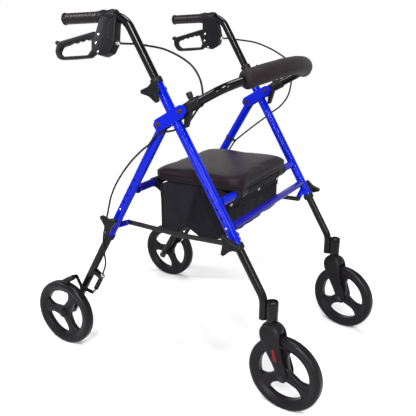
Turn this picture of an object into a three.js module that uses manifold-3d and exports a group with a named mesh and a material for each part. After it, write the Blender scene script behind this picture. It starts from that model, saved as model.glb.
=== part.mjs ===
// A four-wheeled folding rollator walker: two side frames with telescopic handles and legs, brakes, a
// padded seat, a tote bag and a padded back bow. Millimetres, +Z up. The user stands at +Y and looks
// towards -Y, +X is the user's left, and the origin is on the floor below the middle of the bounding box.
import * as THREE from "three";
import { mergeVertices } from "three/addons/utils/BufferGeometryUtils.js";
import Module from "manifold-3d";

const wasm = await Module();
wasm.setup();

// ---------- driving dimensions ----------
const GAP = 0.3; // between pieces that touch or slide
const TUBE_X = 245; // both tubes of a side frame lie in this plane
const FRAME_R = 12.7; // painted frame tubes
const FRAME_BORE = 11.4;
const LEG_R = 11; // telescopic handle and leg tubes
const LEG_BORE = 9.6;
const CROSS_R = 11; // round cross tubes
const CROSS_BORE = 9.6;
const SIDES = 12; // facets round a tube
const FRONT_TOP = new THREE.Vector3(TUBE_X, 19.5, 800.5);
const FRONT_BOTTOM = new THREE.Vector3(TUBE_X, -212, 409.9);
const AXLE = new THREE.Vector3(TUBE_X, 349.9, 100); // rear axle, on the rear tube's line
const REAR_LINE = new THREE.Vector3(TUBE_X, 38, 629); // a second point on that line
const REAR_BOTTOM_Z = 363;
const FOLD_PIVOT = new THREE.Vector3(TUBE_X, 9.5, 696);
const HINGE_BOLT = new THREE.Vector3(TUBE_X, -54.6, 733); // the backrest turns about it
const WHEEL_R = 100;
const WHEEL_SEGMENTS = 24;
const REAR_WHEEL_X = 284;
const STEM_Y = -307.8;
const CASTER_TRAIL = 42;
const CASTER_TURN = { L: -12.6, R: 5.4 }; // degrees, each caster's heading at rest
const HOLE_PITCH = 25.4;
const HOLE_COUNT = 5;
const HOLE_R = 3.3;
const KNOB_HOLE_R = 3.6;
const HANDLE_INSERT = 165; // length of handle tube inside the frame tube
const LEG_INSERT = 100;
const HANDLE_VERTEX = new THREE.Vector3(TUBE_X, 108, 950);
const HANDLE_BEND = 55;
const GRIP_DROP = 2.3; // degrees below level, towards the user
const HANDLE_TOE_OUT = 4; // degrees
const GRIP_END = 185; // from the bend's corner to the grip's rear end
const GRIP_START = 73;
const BRAKE_TILT = 14; // degrees, how far the brake's lower end leans outboard about the grip
const GRIP_R = 14;
const FRONT_SEAT_TUBE = { y: -152.1, z: 511 };
const REAR_CROSS_TUBE = { y: 101.6, z: 511 };
const LOWER_BAR = { y: -187.2, z: 454.2 };
const SEAT = { half: 172, front: -178, rear: 109, bottom: 523, top: 553, corner: 42 };
const BACK_RISE = 28; // degrees, slope of the back bow's plane
const BRACE_FRONT = { y: -183, z: 404 };
const BRACE_REAR = { y: 146, z: 405 };
const BRACE_KNEE = { y: -10, z: 399 };
const BRAKE_PIVOT = { y: 301.6, z: 182 };

// ---------- materials ----------
const paint = (colour, roughness, metalness) =>
  new THREE.MeshStandardMaterial({ color: colour, roughness, metalness });
const BLUE = paint(0x0a1fd0, 0.25, 0.3);
const BLACK_TUBE = paint(0x111113, 0.25, 0.3);
const PLASTIC = paint(0x1c1b1e, 0.55, 0);
const WHEEL = paint(0x1d1c20, 0.6, 0);
const VINYL = paint(0x453c3f, 0.5, 0);
const FOAM = paint(0x3f383a, 0.9, 0);
const CLOTH = paint(0x101013, 0.95, 0);
const CABLE = paint(0x0c0c0d, 0.5, 0);
const STEEL = paint(0x1a1a1d, 0.4, 0.8);

// ---------- solids ----------
// A closed geometry as a solid, faces out.
function solid(geometry) {
  const bare = geometry.clone();
  for (const name of Object.keys(bare.attributes)) if (name !== "position") bare.deleteAttribute(name);
  const merged = mergeVertices(bare, 1e-4);
  const vertProperties = new Float32Array(merged.attributes.position.array);
  const triVerts = new Uint32Array(merged.index.array);
  const made = new wasm.Manifold(new wasm.Mesh({ numProp: 3, vertProperties, triVerts }));
  if (made.volume() > 0) return made;
  for (let i = 0; i < triVerts.length; i += 3) {
    [triVerts[i + 1], triVerts[i + 2]] = [triVerts[i + 2], triVerts[i + 1]];
  }
  return new wasm.Manifold(new wasm.Mesh({ numProp: 3, vertProperties, triVerts }));
}

const join = (...solids) => solids.reduce((all, next) => all.add(next));
const cut = (base, ...tools) => tools.reduce((left, tool) => left.subtract(tool), base);

function toMesh(name, made, material) {
  const { vertProperties, triVerts, numProp } = made.getMesh();
  const geometry = new THREE.BufferGeometry();
  const position = new Float32Array((vertProperties.length / numProp) * 3);
  for (let i = 0; i < position.length / 3; i++) {
    position.set(vertProperties.subarray(i * numProp, i * numProp + 3), i * 3);
  }
  geometry.setAttribute("position", new THREE.BufferAttribute(position, 3));
  geometry.setIndex(new THREE.BufferAttribute(new Uint32Array(triVerts), 1));
  const mesh = new THREE.Mesh(geometry, material);
  mesh.name = name;
  return mesh;
}

// ---------- shapes ----------
const vec = (x, y, z) => new THREE.Vector3(x, y, z);
const yz = (place, x = TUBE_X) => vec(x, place.y, place.z);
const along = (from, direction, distance) => from.clone().addScaledVector(direction, distance);
const radians = THREE.MathUtils.degToRad;

// A round bar between two points; endRadius tapers it.
function rod(from, to, radius, sides = SIDES, endRadius = radius) {
  const span = to.clone().sub(from);
  const geometry = new THREE.CylinderGeometry(endRadius, radius, span.length(), sides);
  geometry.translate(0, span.length() / 2, 0);
  const turn = new THREE.Quaternion().setFromUnitVectors(vec(0, 1, 0), span.clone().normalize());
  return solid(geometry.applyQuaternion(turn).translate(from.x, from.y, from.z));
}

const pipe = (from, to, outer, bore, sides = SIDES) => {
  const direction = to.clone().sub(from).normalize();
  return cut(
    rod(from, to, outer, sides),
    rod(along(from, direction, -1), along(to, direction, 1), bore, sides),
  );
};

// A solid of revolution about the line from origin along direction; profile holds [radius, distance] pairs.
function turned(profile, origin, direction, segments = SIDES) {
  const points = profile.map(([radius, distance]) => new THREE.Vector2(radius, distance));
  const geometry = new THREE.LatheGeometry(points, segments);
  const turn = new THREE.Quaternion().setFromUnitVectors(vec(0, 1, 0), direction.clone().normalize());
  return solid(geometry.applyQuaternion(turn).translate(origin.x, origin.y, origin.z));
}

// An outline with rounded corners; each corner is [u, v, radius].
function outline(corners, steps = 2) {
  const shape = [];
  corners.forEach(([u, v, radius = 0], i) => {
    const here = new THREE.Vector2(u, v);
    if (!radius) return shape.push(here);
    const [bu, bv] = corners.at(i - 1);
    const [au, av] = corners[(i + 1) % corners.length];
    const back = new THREE.Vector2(bu - u, bv - v).normalize();
    const ahead = new THREE.Vector2(au - u, av - v).normalize();
    const half = Math.acos(THREE.MathUtils.clamp(back.dot(ahead), -1, 1)) / 2;
    const reach = radius / Math.tan(half);
    const centre = here.clone().addScaledVector(back.clone().add(ahead).normalize(), radius / Math.sin(half));
    const start = here.clone().addScaledVector(back, reach).sub(centre);
    const end = here.clone().addScaledVector(ahead, reach).sub(centre);
    const sweep = Math.atan2(start.cross(end), start.dot(end));
    for (let k = 0; k <= steps; k++) {
      shape.push(start.clone().rotateAround(new THREE.Vector2(), (sweep * k) / steps).add(centre));
    }
  });
  return new THREE.Shape(THREE.ShapeUtils.isClockWise(shape) ? shape.reverse() : shape);
}

// An outline in the YZ plane, given thickness from x0 to x1.
function slabX(shape, x0, x1, bevel = 0) {
  const geometry = new THREE.ExtrudeGeometry(shape, {
    depth: x1 - x0 - 2 * bevel,
    bevelEnabled: bevel > 0,
    bevelThickness: bevel,
    bevelSize: bevel,
    bevelOffset: -bevel,
    bevelSegments: 1,
    curveSegments: 6,
  });
  geometry.translate(0, 0, x0 + bevel);
  const turn = new THREE.Matrix4().makeBasis(vec(0, 1, 0), vec(0, 0, 1), vec(1, 0, 0));
  return solid(geometry.applyMatrix4(turn));
}

// An outline in the XY plane, given thickness from z0 to z1.
function slabZ(shape, z0, z1, bevel = 0) {
  const geometry = new THREE.ExtrudeGeometry(shape, {
    depth: z1 - z0 - 2 * bevel,
    bevelEnabled: bevel > 0,
    bevelThickness: bevel,
    bevelSize: bevel,
    bevelOffset: -bevel,
    bevelSegments: 1,
    curveSegments: 6,
  });
  return solid(geometry.translate(0, 0, z0 + bevel));
}

function box(x0, x1, y0, y1, z0, z1) {
  const geometry = new THREE.BoxGeometry(x1 - x0, y1 - y0, z1 - z0);
  return solid(geometry.translate((x0 + x1) / 2, (y0 + y1) / 2, (z0 + z1) / 2));
}

// Straight runs joined by arcs, with one station at each end of a run and several along each arc.
class BentLine extends THREE.Curve {
  constructor(corners, radius, arcSteps = 8) {
    super();
    this.stations = [];
    this.tangents = [];
    const add = (point, tangent) => {
      this.stations.push(point);
      this.tangents.push(tangent);
    };
    const direction = (i) => corners[i + 1].clone().sub(corners[i]).normalize();
    add(corners[0].clone(), direction(0));
    for (let i = 1; i < corners.length - 1; i++) {
      const before = direction(i - 1);
      const after = direction(i);
      const angle = before.angleTo(after);
      const reach = radius * Math.tan(angle / 2);
      const start = along(corners[i], before, -reach);
      const normal = after.clone().addScaledVector(before, -after.dot(before)).normalize();
      for (let k = 0; k <= arcSteps; k++) {
        const a = (angle * k) / arcSteps;
        add(
          along(along(start, before, radius * Math.sin(a)), normal, radius * (1 - Math.cos(a))),
          before.clone().multiplyScalar(Math.cos(a)).addScaledVector(normal, Math.sin(a)),
        );
      }
    }
    add(corners.at(-1).clone(), direction(corners.length - 2));
    this.steps = this.stations.length - 1;
  }
  getPointAt(u, target = new THREE.Vector3()) {
    return target.copy(this.stations[Math.round(u * this.steps)]);
  }
  getTangentAt(u, target = new THREE.Vector3()) {
    return target.copy(this.tangents[Math.round(u * this.steps)]);
  }
}

const ring = (radius, sides) =>
  Array.from({ length: sides }, (_, i) => {
    const a = (2 * Math.PI * i) / sides;
    return new THREE.Vector2(radius * Math.cos(a), radius * Math.sin(a));
  });

// A round section swept along a curve; bore makes it a tube open at both ends.
function swept(path, radius, sides, bore = 0, steps = path.steps) {
  const section = new THREE.Shape(ring(radius, sides));
  if (bore) section.holes.push(new THREE.Path(ring(bore, sides)));
  return solid(new THREE.ExtrudeGeometry(section, { steps, extrudePath: path, bevelEnabled: false }));
}

// ---------- lines of the side frame ----------
const frontDown = FRONT_BOTTOM.clone().sub(FRONT_TOP).normalize();
const rearDown = AXLE.clone().sub(REAR_LINE).normalize();
const frontAt = (distance) => along(FRONT_TOP, frontDown, distance);
const frontFromBottom = (distance) => along(FRONT_BOTTOM, frontDown, -distance);
const rearAtZ = (z) => along(AXLE, rearDown, (z - AXLE.z) / rearDown.z);
const REAR_BOTTOM = rearAtZ(REAR_BOTTOM_Z);
const rearFromBottom = (distance) => along(REAR_BOTTOM, rearDown, -distance);
const REAR_TOP = rearAtZ(679);
const HANDLE_KNOB = frontAt(25);
const FRONT_KNOB = frontFromBottom(17.5);
const REAR_KNOB = rearFromBottom(62);
const FRONT_BUTTON = 55; // from the tube's bottom end to its lowest hole
const REAR_BUTTON = 106;

const outboard = (point, distance) => along(point, vec(1, 0, 0), distance);

// The threaded seat that a knob's stud runs into, on the tube's inboard wall.
const knobNut = (place) => rod(outboard(place, -12.3), outboard(place, -18), 7, 8);
const knobHole = (place) => rod(outboard(place, 8), outboard(place, 16), KNOB_HOLE_R, 6);

function adjustmentHoles(fromBottom, first) {
  return Array.from({ length: HOLE_COUNT }, (_, i) => {
    const place = fromBottom(first + i * HOLE_PITCH);
    return rod(outboard(place, 8), outboard(place, 16), HOLE_R, 6);
  });
}

// A welded plate that carries a brace pivot, on the inboard side of a frame tube.
const BRACE_PLATE = [225.5, 228.5];
const BRACE_HOLE_R = 4;
function bracePlate(tubePoint, pivot) {
  const plate = slabX(
    outline([
      [tubePoint.y - 9, tubePoint.z - 9, 5],
      [tubePoint.y + 9, tubePoint.z - 9, 5],
      [tubePoint.y + 9, tubePoint.z + 9, 5],
      [tubePoint.y - 9, tubePoint.z + 9, 5],
    ]),
    ...BRACE_PLATE,
  );
  const ear = rod(yz(pivot, BRACE_PLATE[0]), yz(pivot, BRACE_PLATE[1]), 9, 12);
  const reach = vec(0, pivot.y - tubePoint.y, pivot.z - tubePoint.z).normalize();
  const side = vec(0, -reach.z, reach.y).multiplyScalar(8);
  const web = slabX(
    new THREE.Shape([
      new THREE.Vector2(tubePoint.y + side.y, tubePoint.z + side.z),
      new THREE.Vector2(tubePoint.y - side.y, tubePoint.z - side.z),
      new THREE.Vector2(pivot.y - side.y, pivot.z - side.z),
      new THREE.Vector2(pivot.y + side.y, pivot.z + side.z),
    ]),
    ...BRACE_PLATE,
  );
  const weld = rod(outboard(tubePoint, -18), outboard(tubePoint, -12.3), 7, 8);
  const hole = rod(yz(pivot, 224), yz(pivot, 230), BRACE_HOLE_R, 8);
  return cut(join(plate, ear, web, weld), hole);
}

function frontTube() {
  return cut(
    join(
      pipe(FRONT_TOP, FRONT_BOTTOM, FRAME_R, FRAME_BORE),
      knobNut(HANDLE_KNOB),
      knobNut(FRONT_KNOB),
      bracePlate(frontFromBottom(30), BRACE_FRONT),
    ),
    ...adjustmentHoles(frontFromBottom, FRONT_BUTTON),
    knobHole(HANDLE_KNOB),
    knobHole(FRONT_KNOB),
  );
}

function rearTube() {
  return cut(
    join(
      pipe(REAR_TOP, REAR_BOTTOM, FRAME_R, FRAME_BORE),
      knobNut(REAR_KNOB),
      bracePlate(rearAtZ(392), BRACE_REAR),
    ),
    ...adjustmentHoles(rearFromBottom, REAR_BUTTON),
    knobHole(REAR_KNOB),
  );
}

// A sleeve on the frame tube with a cheek plate on each side, and the two bolts clamped through the cheeks.
function bracket() {
  const rise = Math.atan2(HINGE_BOLT.z - FOLD_PIVOT.z, FOLD_PIVOT.y - HINGE_BOLT.y);
  const corners = [
    [-14, 4, 9],
    [-11, -18.5, 8],
    [80, -17, 10],
    [95, -6, 9],
    [93, 8, 8],
    [80, 13.5, 8],
    [-2, 13.5, 12],
  ].map(([u, v, r]) => [
    FOLD_PIVOT.y - u * Math.cos(rise) + v * Math.sin(rise),
    FOLD_PIVOT.z + u * Math.sin(rise) + v * Math.cos(rise),
    r,
  ]);
  const cheek = outline(corners);
  const [inner, outer] = [FRAME_R + 0.5, FRAME_R + 2.8];
  const bolt = (at) =>
    join(
      rod(outboard(at, -outer - 3), outboard(at, outer + 3), 4, 8),
      rod(outboard(at, -outer - 4), outboard(at, -outer), 6.5, 6),
      rod(outboard(at, outer), outboard(at, outer + 3.5), 6.5, 8),
    );
  return join(
    cut(
      join(
        rod(frontAt(81), frontAt(113), outer),
        slabX(cheek, TUBE_X - outer, TUBE_X - inner),
        slabX(cheek, TUBE_X + inner, TUBE_X + outer),
      ),
      rod(frontAt(70), frontAt(125), FRAME_R + GAP),
    ),
    bolt(FOLD_PIVOT),
    bolt(HINGE_BOLT),
  );
}

// A plug in the rear tube's top end with an ear that turns on the rear bolt.
function rearCap() {
  const half = FRAME_R - 0.3;
  const shoulder = along(REAR_TOP, rearDown, -GAP);
  return cut(
    join(
      rod(outboard(FOLD_PIVOT, -half), outboard(FOLD_PIVOT, half), 11.5),
      rod(shoulder, along(shoulder, rearDown, -15), half),
      rod(along(REAR_TOP, rearDown, 22), shoulder, FRAME_BORE - GAP),
    ),
    rod(outboard(FOLD_PIVOT, -20), outboard(FOLD_PIVOT, 20), 4.6, 8),
  );
}

// A plastic ring over the end of a frame tube, round the smaller tube that leaves it.
function collar(end, outward) {
  const profile = [
    [FRAME_R + GAP, -9],
    [15.5, -9],
    [15.5, 4],
    [13.5, 6],
    [LEG_R + GAP, 6],
    [LEG_R + GAP, GAP],
    [FRAME_R + GAP, GAP],
    [FRAME_R + GAP, -9],
  ];
  return turned(profile, end, outward);
}

// A three-winged knob on a tapered hub, with the stud that clamps the inner tube.
function knob(at, phase) {
  const [tip, waist, back, face] = [30, 12, 33, 46];
  const corners = [];
  for (let i = 0; i < 3; i++) {
    const a = radians(phase + 120 * i);
    const side = radians(14);
    const place = (r, angle) => [at.y + r * Math.cos(angle), at.z + r * Math.sin(angle)];
    corners.push([...place(tip, a - side), 4], [...place(tip, a + side), 4]);
    corners.push(place(waist, a + radians(60)));
  }
  return join(
    slabX(outline(corners, 1), TUBE_X + back, TUBE_X + face),
    rod(outboard(at, 16), outboard(at, back + 2), 8.5, 10, 12.5),
    rod(outboard(at, LEG_R + GAP), outboard(at, 17), 2.7, 6),
  );
}

// ---------- handle ----------
const gripDirection = vec(0, Math.cos(radians(GRIP_DROP)), -Math.sin(radians(GRIP_DROP)));
const gripAt = (distance) => along(HANDLE_VERTEX, gripDirection, distance);
const handlePath = new BentLine(
  [frontAt(HANDLE_INSERT), HANDLE_VERTEX, gripAt(GRIP_END - 6)],
  HANDLE_BEND,
  5,
);
const LEVER_PIVOT = { y: 173, z: 886 };
const LEVER_HALF = 7;

const handleTube = () => swept(handlePath, LEG_R, SIDES, LEG_BORE);

function grip() {
  const profile = [
    [0, GRIP_END],
    [GRIP_R + 1.5, GRIP_END - 1],
    [GRIP_R, GRIP_END - 7],
    [GRIP_R, GRIP_START],
    [LEG_R + GAP, GRIP_START],
    [LEG_R + GAP, GRIP_END - 5],
    [0, GRIP_END - 5],
  ];
  return turned(profile, HANDLE_VERTEX, gripDirection);
}

// Leans a solid outboard about the grip's own line.
function leaned(made) {
  const turn = new THREE.Matrix4()
    .makeTranslation(HANDLE_VERTEX)
    .multiply(new THREE.Matrix4().makeRotationAxis(gripDirection, radians(-BRAKE_TILT)))
    .multiply(new THREE.Matrix4().makeTranslation(HANDLE_VERTEX.clone().negate()));
  return made.transform(turn.elements);
}

// The brake housing: a clamp round the tube, a deep body below it, a slot for the lever and a cable nipple.
function brakeHousing() {
  const body = outline([
    [124, 952],
    [123.5, 925, 20],
    [120, 884, 12],
    [130, 860, 12],
    [151, 850, 14],
    [178, 855, 8],
    [186, 884, 14],
    [176, 925, 20],
    [173, 950],
  ]);
  const clampRib = (distance, width) => rod(gripAt(distance), gripAt(distance + width), 17.2);
  const shell = cut(
    join(
      slabX(body, TUBE_X - 14, TUBE_X + 14),
      rod(gripAt(22), gripAt(GRIP_START - GAP), 15.5),
      clampRib(30, 9),
      clampRib(58, 6),
    ),
    box(TUBE_X - 7.6, TUBE_X + 7.6, 156, 198, 838, 921),
  );
  const pin = rod(yz(LEVER_PIVOT, TUBE_X - 11), yz(LEVER_PIVOT, TUBE_X + 11), 3.5, 8);
  const nipple = rod(vec(TUBE_X, 125, 884), vec(TUBE_X, 109, 884), 4.5, 8);
  return cut(leaned(join(shell, pin, nipple)), swept(handlePath, LEG_R + GAP, SIDES));
}

// A closed loop lever with finger scallops under its upper bar and a round stop at its tip.
function brakeLever() {
  const outer = outline([
    [168, 899, 8],
    [190, 911, 10],
    [290, 886, 6],
    [305, 883, 5],
    [309, 858, 14],
    [296, 838, 16],
    [245, 841, 10],
    [194, 846, 10],
    [167, 866, 10],
  ]);
  const window = outline([
    [197, 894, 4],
    [211, 889, 3],
    [217, 892, 3],
    [229, 885, 3],
    [235, 887.5, 3],
    [247, 880.5, 3],
    [253, 883, 3],
    [268, 877, 4],
    [288, 871, 12],
    [296, 856, 6],
    [281, 847, 6],
    [202, 853, 6],
    [192, 866, 6],
  ]);
  outer.holes.push(window);
  return leaned(
    cut(
      join(
        slabX(outer, TUBE_X - LEVER_HALF, TUBE_X + LEVER_HALF),
        rod(vec(TUBE_X - LEVER_HALF, 306, 881), vec(TUBE_X + LEVER_HALF, 306, 881), 5.5, 10),
      ),
      rod(yz(LEVER_PIVOT, TUBE_X - 20), yz(LEVER_PIVOT, TUBE_X + 20), 4.1, 8),
    ),
  );
}

// ---------- front leg, caster and wheels ----------
const STEM = { bottom: 232, top: 288, radius: 14.5, pin: 8, recess: 11 };

function frontLeg() {
  const bendZ = 289;
  const corner = along(FRONT_BOTTOM, frontDown, (bendZ - FRONT_BOTTOM.z) / frontDown.z);
  const path = new BentLine([frontFromBottom(LEG_INSERT), corner, vec(TUBE_X, corner.y, 234)], 60, 4);
  const stem = vec(TUBE_X, STEM_Y, STEM.bottom);
  const up = vec(0, 0, 1);
  const weld = box(TUBE_X - 6, TUBE_X + 6, STEM_Y + 12, corner.y - LEG_BORE - 0.5, 238, 282);
  return join(
    swept(path, LEG_R, SIDES, LEG_BORE),
    cut(
      join(rod(stem, along(stem, up, STEM.top - STEM.bottom), STEM.radius), weld),
      rod(along(stem, up, -1), along(stem, up, 60), STEM.pin + GAP),
      rod(along(stem, up, 44), along(stem, up, 60), STEM.recess),
    ),
  );
}

// In the caster's own frame: the stem stands on the Z axis and the wheel leads towards -Y.
const HUB = { y: -CASTER_TRAIL, z: WHEEL_R };

function fork() {
  const blade = outline([
    [24, 216, 10],
    [27, 196, 8],
    [16, 168, 20],
    [-8, 132, 20],
    [-26, 88, 12],
    [-42, 82, 12],
    [-58, 92, 12],
    [-54, 118, 12],
    [-38, 140, 14],
    [-38, 200, 14],
    [-30, 218, 12],
  ]);
  const crown = outline([
    [-33, 206, 3],
    [23, 206, 3],
    [24, 216, 8],
    [14, 225, 8],
    [-20, 225, 8],
    [-33, 216, 8],
  ]);
  const upright = (from, to, radius) => rod(vec(0, 0, from), vec(0, 0, to), radius, 10);
  const hub = (x) => yz(HUB, x);
  return join(
    slabX(blade, 17, 23),
    slabX(blade, -23, -17),
    slabX(crown, -21, 21, 2),
    upright(222, STEM.bottom - 0.5, STEM.radius - 0.5),
    upright(224, 283, STEM.pin),
    upright(276.5, 284, STEM.recess - 1.5),
    rod(hub(-26), hub(26), 4.5, 8),
    rod(hub(-26), hub(-22), 8, 6),
    rod(hub(22), hub(26), 8, 8),
    rod(hub(-17.5), hub(-16.3), 9, 8),
    rod(hub(16.3), hub(17.5), 9, 8),
  );
}

// A moulded wheel about the X axis: solid tyre and rim, three flared spokes and a hub.
function wheel(centre, hubFrom, hubTo, bore, turn) {
  const flat = 1 / Math.cos(Math.PI / WHEEL_SEGMENTS); // so that the facets, not the corners, are at WHEEL_R
  const half = 14.5;
  const profile = [
    [71, -9],
    [92, -half],
    [WHEEL_R, -8.5],
    [WHEEL_R, 8.5],
    [92, half],
    [71, 9],
    [71, -9],
  ].map(([radius, distance]) => [radius * flat, distance]);
  const axis = vec(1, 0, 0);
  const tyre = turned(profile, vec(0, 0, 0), axis, WHEEL_SEGMENTS);
  const spokes = [0, 1, 2].map((i) => {
    const a = radians(turn + 120 * i);
    const spin = ([u, v, r]) => [u * Math.cos(a) - v * Math.sin(a), u * Math.sin(a) + v * Math.cos(a), r];
    const corners = [[8, -14], [38, -10.5], [58, -14.5], [74, -26], [74, 26], [58, 14.5], [38, 10.5], [8, 14]];
    return slabX(outline(corners.map(spin)), -7, 7);
  });
  const hub = (from, to, radius) => rod(vec(from, 0, 0), vec(to, 0, 0), radius, 12);
  const x = hubFrom - centre.x;
  const made = cut(
    join(tyre, ...spokes, hub(-9, 9, 19), hub(x, hubTo - centre.x, 13)),
    hub(x - 1, hubTo - centre.x + 1, bore),
  );
  return made.rotate([180 / WHEEL_SEGMENTS, 0, 0]).translate([centre.x, centre.y, centre.z]);
}

const frontWheel = () => wheel(yz(HUB, 0), -16, 16, 4.5 + GAP, 85);
const REAR_HUB = [262.6, 300.2];
const rearWheel = () => wheel(vec(REAR_WHEEL_X, AXLE.y, AXLE.z), ...REAR_HUB, 5 + GAP, 4);

// ---------- rear leg and brake ----------
const brakeForward = vec(0, rearDown.z, -rearDown.y); // from the leg towards the front, square to it
const CABLE_STOP = along(rearAtZ(244), brakeForward, 36);
const SPRING_END = along(CABLE_STOP, rearDown, 48);
const CABLE_TAB = along(CABLE_STOP, rearDown, 57); // where the brake arm takes the cable's wire

// The telescopic leg with the axle through its foot, the cable stop and spring, and the brake arm's pin.
function rearLeg() {
  const axle = (from, to, radius, sides = 8) =>
    rod(vec(from, AXLE.y, AXLE.z), vec(to, AXLE.y, AXLE.z), radius, sides);
  const root = along(rearAtZ(244), brakeForward, LEG_R - 0.8);
  const arm = rod(root, along(CABLE_STOP, brakeForward, 7), 9, 4);
  const flat = box(TUBE_X - 9, TUBE_X + 9, 150, 300, 200, 280);
  return join(
    pipe(rearFromBottom(LEG_INSERT), along(AXLE, rearDown, 15), LEG_R, LEG_BORE),
    axle(231, 306, 5),
    axle(230, 234.5, 8, 6),
    axle(REAR_HUB[1] + GAP, 305, 8, 6),
    axle(254, REAR_HUB[0] - GAP, 9),
    arm.intersect(flat),
    rod(along(CABLE_STOP, rearDown, -8), along(CABLE_STOP, rearDown, 8), 4.5, 8),
    rod(along(CABLE_STOP, rearDown, 7), SPRING_END, 6.5, 10),
    rod(yz(BRAKE_PIVOT, 254), yz(BRAKE_PIVOT, 262), 3.5, 8),
    rod(yz(BRAKE_PIVOT, 260.7), yz(BRAKE_PIVOT, 262.3), 6, 8),
  );
}

// A bent steel strap: a tab under the spring, the pivot on the leg, and a shoe above the tyre.
function brakeArm() {
  const [inner, outer] = [257.4, 260.4];
  const front = CABLE_TAB;
  const strap = (points, half) =>
    join(
      ...points.slice(1).map((to, i) => {
        const from = points[i];
        const step = new THREE.Vector2(to[0] - from[0], to[1] - from[1]);
        const side = new THREE.Vector2(-step.y, step.x).setLength(half);
        const corner = (p, s) => new THREE.Vector2(p[0] + s * side.x, p[1] + s * side.y);
        const strip = [corner(from, 1), corner(from, -1), corner(to, -1), corner(to, 1)];
        return slabX(new THREE.Shape(strip), inner, outer);
      }),
      ...points.map((p) => rod(vec(inner, p[0], p[1]), vec(outer, p[0], p[1]), half, 10)),
    );
  const toCentre = vec(0, AXLE.y - 336, AXLE.z - 206).normalize();
  const shoeTop = along(vec(0, AXLE.y, AXLE.z), toCentre, -(WHEEL_R + 9.5));
  const shoeFoot = along(vec(0, AXLE.y, AXLE.z), toCentre, -(WHEEL_R + 4.6));
  const tangent = vec(0, -toCentre.z, toCentre.y);
  const shoeCorner = (base, s) => {
    const p = along(base, tangent, s * 11);
    return new THREE.Vector2(p.y, p.z);
  };
  const shoe = new THREE.Shape([
    shoeCorner(shoeTop, 1),
    shoeCorner(shoeTop, -1),
    shoeCorner(shoeFoot, -1),
    shoeCorner(shoeFoot, 1),
  ]);
  return cut(
    join(
      strap(
        [
          [front.y, front.z],
          [BRAKE_PIVOT.y, BRAKE_PIVOT.z],
          [316, 216],
          [shoeTop.y, shoeTop.z],
        ],
        6,
      ),
      box(TUBE_X - 7, inner + 0.5, front.y - 5, front.y + 5, front.z - 1.5, front.z + 1.5),
      slabX(shoe, outer - 0.5, REAR_WHEEL_X + 11),
    ),
    rod(yz(BRAKE_PIVOT, 250), yz(BRAKE_PIVOT, 262), 4.1, 8),
  );
}

// ---------- folding brace ----------
const BRACE_LAYERS = { front: [221.5, 224.5], rear: [217.5, 220.5] };

// A flat link; its outer end carries the pin that turns in the welded plate, its knee end a rivet head.
function braceLink(pivot, layer, kneeHead) {
  const reach = new THREE.Vector2(BRACE_KNEE.y - pivot.y, BRACE_KNEE.z - pivot.z);
  const side = new THREE.Vector2(-reach.y, reach.x).setLength(7);
  const corner = (p, s) => new THREE.Vector2(p.y + s * side.x, p.z + s * side.y);
  const bar = new THREE.Shape([
    corner(pivot, 1),
    corner(pivot, -1),
    corner(BRACE_KNEE, -1),
    corner(BRACE_KNEE, 1),
  ]);
  return join(
    slabX(bar, ...layer),
    rod(yz(pivot, layer[0]), yz(pivot, layer[1]), 7, 10),
    rod(yz(BRACE_KNEE, layer[0]), yz(BRACE_KNEE, layer[1]), 7, 10),
    rod(yz(pivot, layer[0]), yz(pivot, BRACE_PLATE[1] + 2.3), BRACE_HOLE_R - 0.7, 8),
    rod(yz(pivot, BRACE_PLATE[1] + GAP), yz(pivot, BRACE_PLATE[1] + 2.3), 6, 8),
    rod(yz(BRACE_KNEE, kneeHead[0]), yz(BRACE_KNEE, kneeHead[1]), 5, 8),
  );
}

// ---------- backrest ----------
const rise = radians(BACK_RISE);
// A point of the back bow: x across, t forward from the hinge bolt in the bow's sloping plane.
const bow = (x, t) => vec(x, HINGE_BOLT.y - t * Math.cos(rise), HINGE_BOLT.z + t * Math.sin(rise));
const BOW = { socket: 38, corner: 124, padX: 193, padT: 154, padRadius: 386, tube: 11, bore: 9.4, pad: 24 };

// The padded middle is one long arc whose ends slope 30 degrees.
function bowArc(margin, steps) {
  const half = Math.asin(BOW.padX / BOW.padRadius) - margin / BOW.padRadius;
  const centreT = BOW.padT - BOW.padRadius * Math.cos(Math.asin(BOW.padX / BOW.padRadius));
  return Array.from({ length: steps + 1 }, (_, i) => {
    const a = -half + (2 * half * i) / steps;
    return bow(BOW.padRadius * Math.sin(a), centreT + BOW.padRadius * Math.cos(a));
  });
}

class Stations extends THREE.Curve {
  constructor(points) {
    super();
    this.points = points;
    this.steps = points.length - 1;
  }
  getPointAt(u, target = new THREE.Vector3()) {
    return target.copy(this.points[Math.round(u * this.steps)]);
  }
  getTangentAt(u, target = new THREE.Vector3()) {
    const i = Math.round(u * this.steps);
    const before = this.points[Math.max(0, i - 1)];
    const after = this.points[Math.min(this.steps, i + 1)];
    return target.subVectors(after, before).normalize();
  }
}

function backTube() {
  const side = (sign) => {
    const path = new BentLine(
      [bow(sign * TUBE_X, BOW.socket), bow(sign * TUBE_X, BOW.corner), bow(sign * BOW.padX, BOW.padT)],
      50,
      3,
    );
    return path.stations;
  };
  const stations = [...side(-1), ...bowArc(20, 8), ...side(1).reverse()];
  return swept(new Stations(stations), BOW.tube, SIDES, BOW.bore);
}

const backPad = () => swept(new Stations(bowArc(0, 10)), BOW.pad, 14, BOW.tube + 1.4);

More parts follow.
